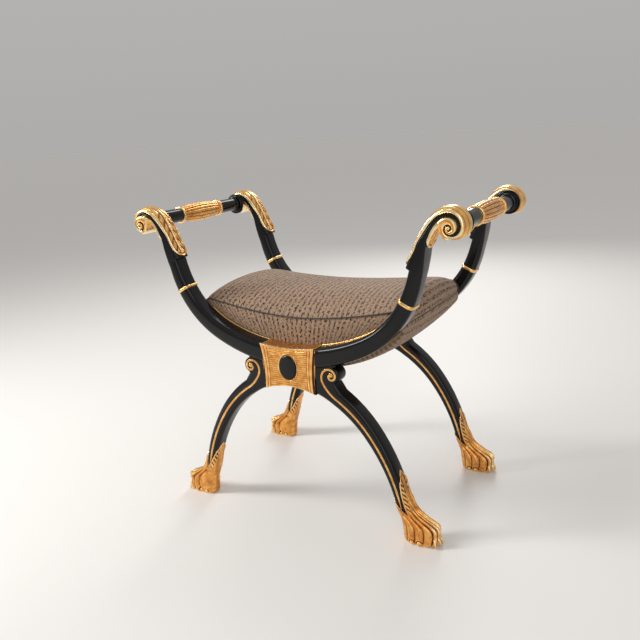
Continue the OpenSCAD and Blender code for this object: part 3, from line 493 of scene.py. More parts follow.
def fleckMask(tree, cloth, look):
    # Dark marks where a noise passes a level, inside a band about the middle of each column
    split = addNode(tree, "ShaderNodeSeparateXYZ", {"Vector": cloth}).outputs
    across = calc(tree, "FRACT", calc(tree, "DIVIDE", split["X"], look["column"]))
    off = calc(tree, "ABSOLUTE", calc(tree, "SUBTRACT", across, 0.5))
    stretch = {0: cloth, 1: (look["stretch"][0], 1 / look["fleck"], look["stretch"][1])}
    stretched = addNode(tree, "ShaderNodeVectorMath", stretch, operation="MULTIPLY").outputs[0]
    ink = remap(tree, noise(tree, stretched, 1.0, *look["inkNoise"]), *look["inkFrom"], 0.0, 1.0)
    return calc(tree, "MULTIPLY", ink, remap(tree, off, *look["band"], 1.0, 0.0))


def makeFabric(look):
    material, tree, shader = finish("seat_fabric", look["sockets"])
    cloth = addNode(tree, "ShaderNodeAttribute", attribute_name="cloth").outputs["Vector"]
    flecks = fleckMask(tree, cloth, look)
    woven = {"Place": cloth, "Thread": look["thread"]}
    threads = addNode(tree, "ShaderNodeGroup", woven, node_tree=weave).outputs["Height"]
    strand = calc(tree, "ADD", threads, addPatina(tree, *look["patina"])["Patches"])
    ground = ramp(tree, strand, list(zip(look["groundFrom"], (look["shade"], look["ground"]))))
    mixed = {"Factor": flecks, "A": ground, "B": (*look["ink"], 1)}
    inked = addNode(tree, "ShaderNodeMix", mixed, data_type="RGBA").outputs["Result"]
    feed(tree, shader, {"Base Color": inked})
    roughen(tree, shader, calc(tree, "ADD", flecks, threads), *look["bump"])
    return material


def makeBeech(look):
    material, tree, shader = finish("beech", {"Roughness": 0.55})
    place = addNode(tree, "ShaderNodeTexCoord").outputs["Object"]
    along = addNode(tree, "ShaderNodeMapping", {"Vector": place, "Scale": look["stretch"]}).outputs["Vector"]
    feed(tree, shader, {"Base Color": ramp(tree, noise(tree, along, *look["rings"]), look["tones"])})
    roughen(tree, shader, addPatina(tree, *look["patina"])["Grain"], *look["bump"])
    return material


# By material slot, for the pieces made here, and by node for the solids that stay
finishes = {"gilding": makeGilding(gildingLook), "ebonised_wood": makeWorn("ebonised_lacquer"),
            "seat_fabric": makeFabric(fabricLook), "piping": makeWorn("piping_cord")}
keptNodes = {
    finishes["ebonised_wood"]: ("front_block", "rear_block", "stretcher"),
    makeBeech(beechLook): ("front_seat_rail", "rear_seat_rail", "left_end_rail", "right_end_rail", "seat_slats"),
    makeWorn("screw_steel"): ("seat_screws",),
}
for material, nodeNames in keptNodes.items():
    for nodeName in nodeNames:
        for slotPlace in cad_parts[nodeName].material_slots:
            slotPlace.material = material
print("finishes ready")


leg = {
    "kneeHalf": 17.0, "ankleHalf": 12.5,    # half heights of the leg's section
    "halfDepth": 18.0, "edge": 8.0, "step": 3.0, "sharp": 30,
    "roll": (99.465, 336.377), "rollRadius": 17.0, "rollTurn": (-71.6, 78.0), "rollInside": 3.0,
    "archMiddle": 129.56, "archRadius": 173.40, "archEnd": 98.74,
    "armMiddle": 752.359, "underRadius": 401.5,   # the knee's top, a little way into the arm
    "inBlock": 54.0,                        # the knee starts inside the centre block
    "lap": 35.0,                            # the shank ends this far inside the paw
    "tenon": 2.5, "tenonFrom": (6.0, 22.0),     # and is this much slimmer there
}
legPath = {"start": (108.0, 286.359, -33.0), "segments": [(261.0, -21.5, 0), (382.0, -20.2, 0)]}
legLength = pathLength(legPath, 2)
linePath = {"start": (108.0, 286.359, 147.0),
            "segments": [(85.0, -30.0, 0)] + [(23.0 * 0.83**k, -45.0, 0) for k in range(12)]}
line = {
    "half": 2.1, "proud": 0.9, "crown": 0.75, "start": legLength + 24.0, "end": 2.0,
    "thin": 30.0, "thinShare": 0.35,        # the lower end narrows to this share over this length
    "bossRadius": 4.8, "bossProud": 1.5,
    # tones by relief: dirt and painted shade in hollows, rubbed gold and a painted highlight on crests
    "wearAndShading": {"passes": 4, "dark": 0.9, "bright": 0.6, "base": 0.64},
}


def legHalf(d):
    return leg["kneeHalf"] + (leg["ankleHalf"] - leg["kneeHalf"]) * d / legLength


def topZ(x, radius):
    # An arc of the given radius below the arms' middle, which lies far over the bench
    return leg["armMiddle"] - np.sqrt(radius**2 - x**2)


def archZ(x):
    # The arc under the centre block, between the legs
    return leg["archMiddle"] + np.sqrt(leg["archRadius"] ** 2 - x**2)


def makeLeg():
    # One outline in X and Z: along the arch, down the shank and back, and round the roll
    archTurn = np.linspace(*(math.asin(leg[key] / leg["archRadius"]) for key in ("inBlock", "archEnd")), 18)
    archX = leg["archRadius"] * np.sin(archTurn)
    d = np.arange(0, legLength + leg["lap"], leg["step"])
    half = legHalf(d) - leg["tenon"] * ease(*leg["tenonFrom"], d - legLength)
    turn = np.radians(np.linspace(*leg["rollTurn"], 30))
    roll = leg["roll"] + leg["rollRadius"] * np.stack([np.cos(turn), np.sin(turn)], axis=-1)
    topX = np.linspace(leg["roll"][0] + leg["rollInside"], leg["inBlock"], 12)
    outline = [np.stack([archX, archZ(archX)], axis=-1), beside(legPath, d, -half)[1:],
               beside(legPath, d, half)[::-1], roll, np.stack([topX, topZ(topX, leg["underRadius"])], axis=-1)]
    return roundedPlate(np.concatenate(outline), leg["halfDepth"], leg["edge"])


def makeLegLine():
    # A low bar along the middle of the leg's face, which rolls up on the knee round a boss
    d = np.linspace(line["start"], line["end"], 80)
    onLeg = walk(legPath, d) + [0, 0, math.pi]
    onRoll = walk(linePath, np.linspace(0, pathLength(linePath, 11), 110))
    t = np.linspace(-1, 1, 11)
    across = line["half"] * np.concatenate([t, [1, -1]])
    rise = np.concatenate([line["proud"] * np.sqrt(1 - line["crown"] * t**2), [-1, -1]])
    slim = line["thinShare"] + (1 - line["thinShare"]) * ease(0, line["thin"], line["start"] - d)
    slim = np.append(slim, np.ones(len(onRoll)))[:, None]
    bar = ringShape(carry(np.concatenate([onLeg, onRoll]), across * slim, -leg["halfDepth"] - rise))
    eye = placeOn(linePath, pathLength(linePath, 12))
    rows = [(1.0, 1 - leg["halfDepth"])]
    rows += [(math.cos(t), -leg["halfDepth"] - line["bossProud"] * math.sin(t)) for t in np.linspace(0, 1.5, 7)]
    return joined([bar, dome(oval(eye, line["bossRadius"], line["bossRadius"], 32), eye, rows)])


addCorners("leg_wood", makeLeg(), "ebonised_wood", "leg", sharp=leg["sharp"])
frontLine = makeLegLine()
bothLines = agedAndShaded(joined([frontLine, mirrored(frontLine, y=-1)]), **line["wearAndShading"])
addCorners("leg_gilt_line", bothLines, "gilding", "leg_line")
print("legs and gilt lines done")


arm = {
    "radius": 390.0, "edge": 10.0, "leafEdge": 3.5, "edgeFrom": (-15.0, 30.0), "sharp": 30,
    "blockHalf": 62.0,
    "squareUp": 40.0,      # length over which the sections turn from upright to square to the path
    "leafStart": 377.6,    # from the bench's middle, along the arm
    # the black lip that carries the tip of the leaf rises quickly and falls slowly, from the leaf's start
    "lip": 7.5, "lipRises": (-3.0, -0.5), "lipFalls": (-2.0, 40.0),
    # the neck stands this far towards the seat
    "bow": 3.0, "bowRises": (395.0, 440.0), "bowFalls": (462.0, 492.0),
}
# the ring's gilding is toned by relief: dirt and painted shade in hollows, rubbed gold and a painted highlight on
# crests
armRing = {"at": 309.6, "half": 3.4, "rise": 0.6, "crown": 1.5, "wearAndShading": {"passes": 4, "base": 0.70}}
armPath = {"start": (0.0, 362.359, 0.0),
           "segments": [(arm["radius"], 26.0, 0), (206.0, 48.0, 0), (0, 0, 48.96), (201.23, -23.0, 0)]
           + [(27.0 * 0.838**k, -45.0, 0) for k in range(20)]}
armBase = arm["radius"] * math.asin(arm["blockHalf"] / arm["radius"])
armScroll, armFade, armBandEnd, armEye = (pathLength(armPath, count) for count in (4, 9, 11, 21))
leafStart = arm["leafStart"]
armHalves = [(armBase, 20.5), (armRing["at"], 15.5), (leafStart, 13.5), (427, 8.8), (441, 6.2), (456, 4.8),
             (468, 4.3), (armScroll + 13.5, 3.9), (armScroll + 34, 3.4), (armFade, 2.0), (armEye, 1.1)]
scroll = {
    "bandHalf": 22.5,      # the gilt band's edge, from the middle of the frame
    "eyeProud": 9.0, "eyeRise": 40.0,       # how much further out the middle of the volute stands
    "sunk": 2.5,           # the black stem lies this far below the gilt
    # the black cheek beside the handrail, as shares of the stem's outer contour and depths
    "cheek": [(1, 14), (1, 22.4), (0.985, 23.2), (0.95, 23.8), (0.5, 24.0), (0.02, 24.0)], "cheekStart": 4.0,
    "swell": 4.2, "swellShare": 0.42,       # the inner turns' round backs
    "eyeRadius": 3.4, "eyeFace": 30.0, "eyeDome": 3.8,
    # tones by relief: dirt and painted shade in hollows, rubbed gold and a painted highlight on crests
    "wearAndShading": {"passes": 14, "dark": 0.7}, "sharp": 50,
}


def armHalf(d):
    return knotted(armHalves, d)


def lipRise(d):
    return arm["lip"] * hump(arm["lipRises"], arm["lipFalls"], d - leafStart)


def bow(d):
    return arm["bow"] * hump(arm["bowRises"], arm["bowFalls"], d)


def faceOut(d):
    # How far the gilt stands out of the frame's middle: the band's edge, then a slow rise to the eye
    return scroll["bandHalf"] + scroll["eyeProud"] * ease(armFade - scroll["eyeRise"], armEye, d)


def scrollPlaces(start, end, perStep=10):
    # Places at equal turns of the scroll, so that its small inner turns stay round
    turns = [pathLength(armPath, k) for k in range(4, 24)]
    steps = np.concatenate([np.linspace(*ends, perStep, endpoint=False) for ends in zip(turns, turns[1:])])
    return np.append(steps[(steps > start) & (steps < end)], end)


def makeArm():
    d = np.concatenate([np.linspace(armBase, leafStart - 5, 110), np.linspace(leafStart - 4, leafStart + 2, 14),
                        np.linspace(leafStart + 4, armScroll, 50), scrollPlaces(armScroll + 0.2, armEye)])
    places = walk(armPath, d)
    places[:, 2] *= np.clip((d - armBase) / arm["squareUp"], 0, 1) * (d < armScroll) + (d >= armScroll)
    half = armHalf(d)
    edge = np.minimum(0.85 * half, np.interp(d - leafStart, arm["edgeFrom"], [arm["edge"], arm["leafEdge"]]))
    across, depth = roundedSection(half, faceOut(d) - scroll["sunk"], np.full_like(d, bench["halfDepth"]), edge)
    across = across + lipRise(d)[:, None] * np.clip(across / half[:, None], 0, 1) + bow(d)[:, None]
    around = scrollPlaces(armScroll - scroll["cheekStart"], armBandEnd)
    contour = beside(armPath, around, armHalf(around) - 0.2)
    cheek = dome(contour, placeOn(armPath, armEye), scroll["cheek"])
    return joined([ringShape(carry(places, across, depth)), cheek])


leaf = {
    "halfWidth": 19.5, "bandHalfWidth": 22.5, "widensFrom": 430.0,
    "tip": 2.0,            # it starts this far behind the lip
    "tipLength": 22.0, "tipPower": (2.2, 0.55),
    "thick": 5.4, "tipThick": 3.0, "bandThick": 10.9, "endThick": 8.4, "lastThick": 8.0,
    "lobe": 14.5, "lobeGrowth": 0.075,      # from one vein to the next at the tip, and how fast that grows
    "slant": 1.35,         # how fast the veins run towards the tip as they leave the rib
    "cut": 4.4, "lobePower": 0.55, "window": (0.12, 0.30), "edgeWindow": (3.0, 6.0),
    "strands": 0.18,       # fine lines on each lobe
    "rib": 1.6, "ribHalf": 2.6, "ribGroove": (1.3, 3.7, 1.0), "ribFrom": (4.0, 12.0),
    "rim": [(1.1, 1.7, 1.4), (-1.2, 4.4, 1.1)],
    "roll": 11.2, "rollDeep": 2.9, "rollsFrom": (-12.0, 14.0), "softFrom": (-34.0, 8.0),
    # tones by relief: dirt and painted shade in hollows, rubbed gold and a painted highlight on crests
    "wearAndShading": {"passes": 18, "dark": 1.05, "bright": 0.55, "base": 0.64}, "sharp": 70,
}
crook = {
    "start": 424.0, "end": 488.0, "halfWidth": 20.6, "tipLength": 15.0, "tipPower": (2.0, 0.5),
    "thicks": [(0, 3.2), (16, 6.4), (38, 7.4), (64, 13.0)],     # by distance from its tip
    "lobe": 12.5, "slant": 1.1, "cut": 3.2, "lobePower": 0.55, "window": (3.0, 5.5), "edgeWindow": (2.6, 5.0),
    "rim": [(1.3, 1.6, 1.3), (-1.0, 4.2, 1.0)], "rib": 1.2, "ribHalf": 2.4, "soft": 0.25,
}


# Both leaves: the edge's height and the power of its round, for a crisp sheet and what softness adds to each
sheet = {"edge": (0.30, -0.22), "power": (0.55, 0.35), "carvedEdge": 0.25, "least": 0.5}


def leafThick(d):
    places = [leafStart, leafStart + 24, leaf["widensFrom"], armScroll, armFade - 11.5, armFade, armBandEnd]
    names = ("tipThick", "thick", "thick", "bandThick", "bandThick", "endThick", "lastThick")
    return np.interp(d, places, [leaf[name] for name in names])


def leafHalf(form, widest, fromTip):
    # Half the width: a rounded tip by powers of the distance from it
    outer, inner = form["tipPower"]
    return (widest * (1 - (1 - np.clip(fromTip / form["tipLength"], 0, 1)) ** outer) ** inner)[:, None]


def leafEdge(y, half, fromTip):
    # The distance to the leaf's edge, from its side and its tip together
    return 1 / (1 / (half - np.abs(y) + 0.05) + 1 / np.maximum(fromTip, 0.05))


def lobed(form, number):
    return np.sin(math.pi * (number - np.floor(number))) ** form["lobePower"]


def leafCarving(d, y, half):
    # Veins leave the rib and run to the tip, nearer and nearer to each other: their number is the logarithm of
    # the distance d + slant |y|. Between two veins the lobe is a half sine, and its ends are sharp dark cuts
    off = np.abs(y)
    share = off / half
    fromTip = np.maximum(d + leaf["slant"] * off - leafStart, 0)
    number = np.log(1 + leaf["lobeGrowth"] * fromTip / leaf["lobe"]) / leaf["lobeGrowth"]
    edge = leafEdge(y, half, d - leafStart)
    window = ease(*leaf["window"], share) * ease(*leaf["edgeWindow"], edge)
    deeper = 0.6 + 0.4 * ease(0.25, 0.6, share)
    herringbone = -leaf["cut"] * (1 - lobed(leaf, number)) * window * deeper
    herringbone = herringbone + leaf["strands"] * np.cos(2 * math.pi * 3 * number) * window
    groove, *grooveAt = leaf["ribGroove"]
    rib = leaf["rib"] * (ridge(off, 0, leaf["ribHalf"]) - groove * bump(off, *grooveAt))
    rib = rib * ease(*leaf["ribFrom"], d - leafStart)
    rolls = leaf["rollDeep"] * (np.abs(np.cos(math.pi * y / leaf["roll"])) ** 0.7 - 1)
    toScroll = ease(*leaf["rollsFrom"], d - armScroll)
    return (herringbone + rib + summed(bump, edge, leaf["rim"])) * (1 - toScroll) + rolls * toScroll


def leafAcross():
    # From edge to edge of a leaf, as -1 to 1, closer at the edges
    t = np.linspace(-1, 1, 75)[None, :]
    return 0.35 * np.sin(t * math.pi / 2) + 0.65 * t


def leafSheet(d, half, bottom, thick, carving, side, soft):
    # A sheet on the stem: its height over the stem is a low power of a half ellipse across it, plus the carving
    bottom, thick = bottom[:, None], thick[:, None]
    edgeRound = ridge(leafAcross(), 0, 1.005) ** (sheet["power"][0] + sheet["power"][1] * soft)
    atEdge = sheet["edge"][0] + sheet["edge"][1] * soft
    carvedEdge = sheet["carvedEdge"]
    height = thick * (atEdge + (1 - atEdge) * edgeRound) + carving * (carvedEdge + (1 - carvedEdge) * edgeRound)
    top = bottom + np.maximum(height, sheet["least"])
    across = side * np.concatenate([top, bottom + np.zeros((1, 3))], axis=1) + bow(d)[:, None]
    depth = half * np.append(leafAcross(), [[0.96, 0.0, -0.96]], axis=1)
    return ringShape(carry(walk(armPath, d), across, depth))


def makeLeafStrap():
    tip = leafStart + leaf["tip"]
    tipPlaces = tip + leaf["tipLength"] * (1 - np.cos(np.linspace(0.1, 1.5, 26)))
    d = np.concatenate([tipPlaces, np.arange(tipPlaces[-1] + 0.7, armScroll, 0.8),
                        scrollPlaces(armScroll, armBandEnd + 2, 16)])
    widest = np.interp(d, [leaf["widensFrom"], armScroll], [leaf["halfWidth"], leaf["bandHalfWidth"]])
    half = leafHalf(leaf, widest, d - tip)
    bottom = armHalf(d) + bench["clear"] + lipRise(d)
    soft = ease(*leaf["softFrom"], d - armScroll)[:, None]
    return leafSheet(d, half, bottom, leafThick(d), leafCarving(d[:, None], leafAcross() * half, half), 1, soft)


def makeCrookLeaf():
    # A small leaf on the outer side of the neck, under the scroll: a raised rim, a rib and slanted cuts
    fromTip = np.append(3.0 * np.linspace(0.03, 1, 12) ** 2, np.arange(3.6, crook["end"] - crook["start"], 0.8))
    d = crook["start"] + fromTip
    half = leafHalf(crook, crook["halfWidth"], fromTip)
    off = np.abs(leafAcross() * half)
    edge = leafEdge(off, half, fromTip[:, None])
    lobe = lobed(crook, (fromTip[:, None] + crook["slant"] * off) / crook["lobe"])
    carving = -crook["cut"] * (1 - lobe) * ease(*crook["window"], off) * ease(*crook["edgeWindow"], edge)
    carving = carving + summed(bump, edge, crook["rim"]) + crook["rib"] * ridge(off, 0, crook["ribHalf"])
    carving = carving * ease(2, 8, fromTip)[:, None]
    thick = knotted(crook["thicks"], fromTip)
    return leafSheet(d, half, armHalf(d) + bench["clear"], thick, carving, -1, crook["soft"])


def makeVolute():
    # The gilt band's inner turns: from the stem's outer side to the inner side of the stem one turn further out
    d = scrollPlaces(armFade + 4, armEye, 14)
    inner = beside(armPath, d, armHalf(d) + 0.1)
    free = beside(armPath, d, armHalf(d) + leafThick(d))
    turns = [pathLength(armPath, k) for k in range(4, 24)]
    before = np.maximum(np.interp(d, turns[8:], turns[:-8]), armScroll - 12)
    held = beside(armPath, before, -armHalf(before) - 0.1)
    outer = free + (held - free) * ease(turns[6] + 2, turns[8] + 1, d)[:, None]
    wide = np.linalg.norm(outer - inner, axis=1)[:, None]
    t = np.linspace(0, 1, 19)
    swell = np.minimum(wide * scroll["swellShare"], scroll["swell"]) * (ridge(t, 0.5, 0.5) - 0.55)
    rings = []
    for shares, depth in ((t, -faceOut(d)[:, None] - swell), (np.linspace(1, 0, 5), bench["halfDepth"] - 0.5)):
        across = inner[:, None] + (outer - inner)[:, None] * shares[None, :, None]
        rings.append(grid(across[..., 0], depth, across[..., 1]))
    eye = placeOn(armPath, armEye)
    face, rise = scroll["eyeFace"], scroll["eyeDome"]
    rows = [(1, 0), (1, -face)] + [(math.cos(t), -face - rise * math.sin(t)) for t in np.linspace(0.1, 1.5, 7)]
    boss = dome(oval(eye, scroll["eyeRadius"], scroll["eyeRadius"], 40), eye, rows)
    return joined([ringShape(np.concatenate(rings, axis=1)), boss])


def makeArmRing():
    # A half round collar that follows the arm's own section
    p = np.linspace(0, 1, 13)
    rise = np.append(armRing["rise"] + armRing["crown"] * np.sin(math.pi * p) ** 0.6, [0.1, 0.1])
    d = armRing["at"] + armRing["half"] * (2 * np.append(p, [1, 0]) - 1)
    out = bench["halfDepth"] + rise
    across, depth = roundedSection(armHalf(d) + rise, out, out, arm["edge"] + rise)
    return ringShape(carry(walk(armPath, d), across, depth), closed=True)


addCorners("arm_wood", makeArm(), "ebonised_wood", "arm", sharp=arm["sharp"])
leafShape = agedAndShaded(joined([makeLeafStrap(), makeCrookLeaf()]), **leaf["wearAndShading"])
addCorners("acanthus_leaf", leafShape, "gilding", "leaf", sharp=leaf["sharp"])
addCorners("scroll_volute", agedAndShaded(makeVolute(), **scroll["wearAndShading"]), "gilding", "volute", sharp=scroll["sharp"])
addCorners("arm_gilt_ring", agedAndShaded(makeArmRing(), **armRing["wearAndShading"]), "gilding", "arm_ring")
print("arms and scrolls done")


paw = {
    "ankle": 98.0, "length": 69.0, "width": 43.0, "top": 152.0, "around": 288,
    # height, heel, toe and half width, as shares of the ankle's height, the length and the width
    "rows": [(0, 0.12, 1.02, 0.42), (0.04, 0.08, 1.09, 0.475), (0.14, 0.06, 1.14, 0.50), (0.29, 0.03, 1.17, 0.50),
             (0.39, 0.01, 1.12, 0.49), (0.47, -0.015, 0.97, 0.475), (0.54, -0.04, 0.78, 0.465),
             (0.62, -0.07, 0.58, 0.458), (0.72, -0.105, 0.43, 0.452), (0.85, -0.15, 0.325, 0.450)],
    "onLeg": (1.0, 1.16, 1.32, 1.56),       # heights on the leg itself
    "gold": 1.3, "ankleGold": 2.4,          # how far the gilding stands off the leg
    "sideGold": (1.3, 1.2, 1.2, 1.2),
    "sunk": 1.6,                            # where it ends it dips this far under the black
    "power": [(0, 2.8), (0.5, 2.6), (0.64, 3.7), (1.0, 4.0)], "legPower": 4.0,   # the higher, the squarer
    "bladeCreases": (-0.115, 0.115, 0.25, 0.38, 0.53, 0.78, 1.22),
    "deep": [(0, 2.0), (6, 4.6), (30, 5.6), (45, 5.4), (60, 4.4), (80, 3.2), (98, 2.6), (125, 2.0), (150, 0.6)],
    "deepAround": [(0, 1), (0.22, 1), (0.35, 1), (0.5, 0.9), (0.75, 0.75), (1, 0.6)],
    "shallow": 0.65, "shallowFrom": (58, 67), "shallowAround": (0.28, 0.36),    # where the wood lies under it
    "knuckles": [(2.0, 39, 7), (-1.8, 25, 5), (1.2, 12, 5)], "knucklesTo": (0.22, 0.30),
    # levels and shares of the half girth between which the blade's own carving takes over from the paw's
    "upperFrom": (60, 92), "bladeFrom": (66, 78), "bladeSide": (0.45, 0.55), "bladeEdge": (0.13, 0.16),
    "tilts": [(0.6, 0), (0.72, 0.04), (0.85, 0.14)],    # of the rings, by height, before the leg's own
    "rim": (1.1, 1.4, 1.1), "rimFrom": (60, 66),        # along the black
    "cutDeep": 2.3, "cutStep": 9.5, "cutSlant": 0.9, "cutHalf": 0.19, "cutFade": (128, 136),
    "cutRises": (2.6, 4.2), "cutFalls": (11, 14),
    "groove": (2.4, 0.12, 1.7), "grooveRises": (64, 78), "grooveFalls": (122, 134),
    "curls": ((0.49, 6.2), (0.66, 5.2)), "curlLevel": 5.5,      # curled side toes, by place and size
    "curlGroove": (2.4, 1.1), "curlBall": (1.2, 0.6), "curlFrom": (3, 5),
    # tones by relief: dirt and painted shade in hollows, rubbed gold and a painted highlight on crests
    "wearAndShading": {"passes": 20, "dark": 0.70, "bright": 0.40}, "sharp": 70,
}
claw = {
    "places": (-0.165, -0.05, 0.05, 0.165),     # shares of the half girth, at this level
    "level": 15, "reach": 70,                   # columns searched on either side of the middle
    "radius": 3.1, "end": 0.3, "taper": 0.55, "narrow": 0.8,
    "out": 5.4, "outTurn": 2.1, "sunk": 3.0, "rise": 1.5, "drop": 15.6, "dropPower": 1.2, "floor": 0.05,
}
# A blade of fur climbs the leg over the toes or over the heel. The ends of the gilding are given by height in mm,
# as shares of the half girth from the toes and from the heel, and the creases between rolls as such shares too
toeBlade = {
    "overToes": True, "knuckle": 1.0, "creases": (0.0, 0.085, 0.205, 0.41, 0.60, 0.78, 1.22),
    "toe": [(50, 0.62), (62, 0.43), (85, 0.41), (106, 0.37), (118, 0.33), (124, 0.29), (129, 0.22), (135, 0.14),
            (141, 0.06), (147, -0.04)],
    "heel": [(50, 0.80), (62, 0.58), (75, 0.43), (88, 0.315), (94, 0.17), (99, -0.04)],
}
heelBlade = {
    "overToes": False, "knuckle": 1.7, "creases": (0.0, 0.13, 0.29, 0.45, 1.55),
    "toe": [(50, 0.62), (66, 0.45), (80, 0.39), (98, 0.28), (104, 0.15), (110, -0.04)],
    "heel": [(50, 0.80), (66, 0.56), (80, 0.48), (95, 0.41), (113, 0.33), (122, 0.26), (130, 0.16), (135, 0.06),
             (139, -0.04)],
}


def rollsBetween(share, creases):
    # Half sines from crease to crease, to a low power: round rolls that meet in sharp valleys
    ends = np.array(creases)
    k = np.clip(np.searchsorted(ends, share, side="right") - 1, 0, len(ends) - 2)
    return np.sin(math.pi * np.clip((share - ends[k]) / (ends[k + 1] - ends[k]), 0, 1)) ** 0.85


def polarRings(middle, level, long, wide, power, tilt):
    # Radius by direction: the power mean of cos / long and sin / wide, to the power -1, on a ring that tilts
    turn = circle(paw["around"]) - math.pi
    c, s = np.cos(turn), np.sin(turn)
    radius = ((np.abs(c) / long) ** power + (np.abs(s) / wide) ** power) ** (-1 / power)
    return grid(middle + radius * c * np.cos(tilt), radius * s, level + radius * c * np.sin(tilt))


def girthShares(rings):
    # The share of the half girth from the middle of the toes to each point, and the half girth
    around = rings.shape[1]
    half = np.append(rings[:, around // 2:], rings[:, :1], axis=1)
    run = np.cumsum(np.linalg.norm(np.diff(half, axis=1), axis=2), axis=1)
    run = np.append(np.zeros((len(rings), 1)), run, axis=1)
    return (run / run[:, -1:])[:, np.abs(np.arange(around) - around // 2)], run[:, -1:]


def pawCarving(blade, share, girth, level, onLeg, inside):
    # How far the surface moves out: rolls between creases, knuckles, a rim along the black, slanted cuts behind
    # it, a dark groove beside the ridge over the toes, and curled side toes
    overToes = blade["overToes"]
    fromBlade = share if overToes else 1 - share
    upper = ease(*paw["upperFrom"], level)
    rolls = rollsBetween(share, blade["creases"])
    rolls = rolls + (rollsBetween(share, paw["bladeCreases"]) - rolls) * upper
    carved = ease(*paw["bladeFrom"], level) * ease(*paw["bladeEdge"], fromBlade)
    carved = carved * ease(*paw["bladeSide"], 1 - fromBlade)
    around = share if overToes else np.minimum(share, 1 - 0.6 * upper * share)
    deep = knotted(paw["deep"], level) * knotted(paw["deepAround"], around)
    deep = deep * (1 - paw["shallow"] * ease(*paw["shallowFrom"], level) * ease(*paw["shallowAround"], share))
    push = -deep * (1 - rolls) * (1 - 0.9 * carved)
    knuckles = blade["knuckle"] * (1 - ease(*paw["knucklesTo"], share)) * summed(bump, level, paw["knuckles"])
    cuts = (onLeg - paw["cutSlant"] * inside) / paw["cutStep"]
    cuts = bump(cuts - np.floor(cuts), 0.5, paw["cutHalf"]) * hump(paw["cutRises"], paw["cutFalls"], inside)
    push = push + rolls * knuckles + summed(bump, inside, [paw["rim"]]) * ease(*paw["rimFrom"], level)
    push = push - paw["cutDeep"] * cuts * carved * (1 - ease(*paw["cutFade"], level))
    if overToes:
        groove, place, width = paw["groove"]
        fades = hump(paw["grooveRises"], paw["grooveFalls"], level)
        push = push - groove * bump((share - place) * girth, 0, width) * fades
    for place, size in paw["curls"]:
        ring = np.hypot((share - place) * girth, level - paw["curlLevel"])
        deep, width = paw["curlGroove"]
        high, share0 = paw["curlBall"]
        push = push - deep * bump(ring, size, width) * ease(*paw["curlFrom"], level)
        push = push + high * bump(ring, 0, size * share0)
    return push


def makePaw(blade):
    z = np.concatenate([np.arange(0, 4, 0.5), np.arange(4, paw["top"] + 0.5, 0.95)])
    level, height = z[:, None], z / paw["ankle"]
    d = np.linspace(0, legLength + leg["lap"], 600)
    onLeg = np.interp(z, walk(legPath, d)[::-1, 1], d[::-1])
    legMiddle = walk(legPath, onLeg)
    legTilt = math.pi / 2 + legMiddle[:, 2]
    # Rows of the paw and of the leg are joined by one smooth curve for each number
    rows, up = np.array(paw["rows"]), np.array(paw["onLeg"])
    heel, toe = rows[:, 1] * paw["length"], rows[:, 2] * paw["length"]
    upX = np.interp(up * paw["ankle"], z, legMiddle[:, 0])
    upHalf = legHalf(np.interp(up * paw["ankle"], z, onLeg))
    upGold = np.interp(up, [1, 1.3], [paw["ankleGold"], paw["gold"]])
    knots = np.append(rows[:, 0], up)
    middle = np.append(placeOn(legPath, legLength)[0] + (heel + toe) / 2, upX + (upGold - paw["gold"]) / 2)
    long = np.append((toe - heel) / 2, upHalf + (upGold + paw["gold"]) / 2)
    wide = np.append(rows[:, 3] * paw["width"], leg["halfDepth"] + np.array(paw["sideGold"]))
    middle, long, wide = (smoothThrough(knots, values, height)[:, None] for values in (middle, long, wide))
    tilt = knotted(paw["tilts"] + [(1.0, legTilt[np.searchsorted(z, paw["ankle"])])], height)
    tilt = np.where(height > 1, legTilt, tilt)[:, None]
    gilt = polarRings(middle, level, long, wide, knotted(paw["power"], height)[:, None], tilt)
    hidden = polarRings(legMiddle[:, :1], level, legHalf(onLeg)[:, None] - paw["sunk"],
                        leg["halfDepth"] - paw["sunk"], paw["legPower"], legTilt[:, None])
    share, girth = girthShares(gilt)
    inside = np.maximum(knotted(blade["toe"], level) - share, knotted(blade["heel"], level) - (1 - share)) * girth
    push = pawCarving(blade, share, girth, level, onLeg[:, None], inside)
    out = unit(np.cross(np.roll(gilt, -1, axis=1) - np.roll(gilt, 1, axis=1), np.gradient(gilt, axis=0)))
    pushed = gilt + out * push[..., None]
    pushed[..., 2] = np.maximum(pushed[..., 2], 0)
    points = hidden + (pushed - hidden) * ease(-0.5, 0.6, inside)[..., None]
    row = int(np.searchsorted(z, claw["level"]))
    claws = [makeClaw(place, points[row], out[row], share[row]) for place in claw["places"]]
    return joined([ringShape(points)] + claws)


def makeClaw(place, points, outward, share):
    # A short tapering hook that leaves its toe below the knuckle and turns down to the floor
    middle, reach = len(points) // 2, claw["reach"]
    wrongSide = np.arange(-reach, reach) * place < 0
    off = np.abs(share[middle - reach:middle + reach] - abs(place)) + 9 * wrongSide
    column = middle - reach + int(np.argmin(off))
    out = unit(outward[column] * [1, 1, 0])
    t = np.linspace(0, 1, 16)[:, None]
    up = np.array([0, 0, 1.0])
    path = points[column] + out * (claw["out"] * np.sin(claw["outTurn"] * t) - claw["sunk"])
    path = path + up * (claw["rise"] - claw["drop"] * t ** claw["dropPower"])
    level = np.cross(up, out)
    across = np.cross(level, unit(np.gradient(path, axis=0)))
    radius = (claw["radius"] * (1 - t) ** claw["taper"] + claw["end"])[..., None]
    a = circle(16)[None, :, None]
    rings = path[:, None] + radius * (claw["narrow"] * np.cos(a) * level + np.sin(a) * across[:, None])
    rings[..., 2] = np.maximum(rings[..., 2], claw["floor"])
    return ringShape(rings)


for sideName, blade in (("left", heelBlade), ("right", toeBlade)):
    pawShape = agedAndShaded(makePaw(blade), **paw["wearAndShading"])
    for faceName, face in faces.items():
        addPiece(f"{faceName}_{sideName}_lion_paw", placed(pawShape, sides[sideName], face), "gilding",
                 f"{faceName}_{sideName}_paw", sharp=paw["sharp"])
print("paws done")


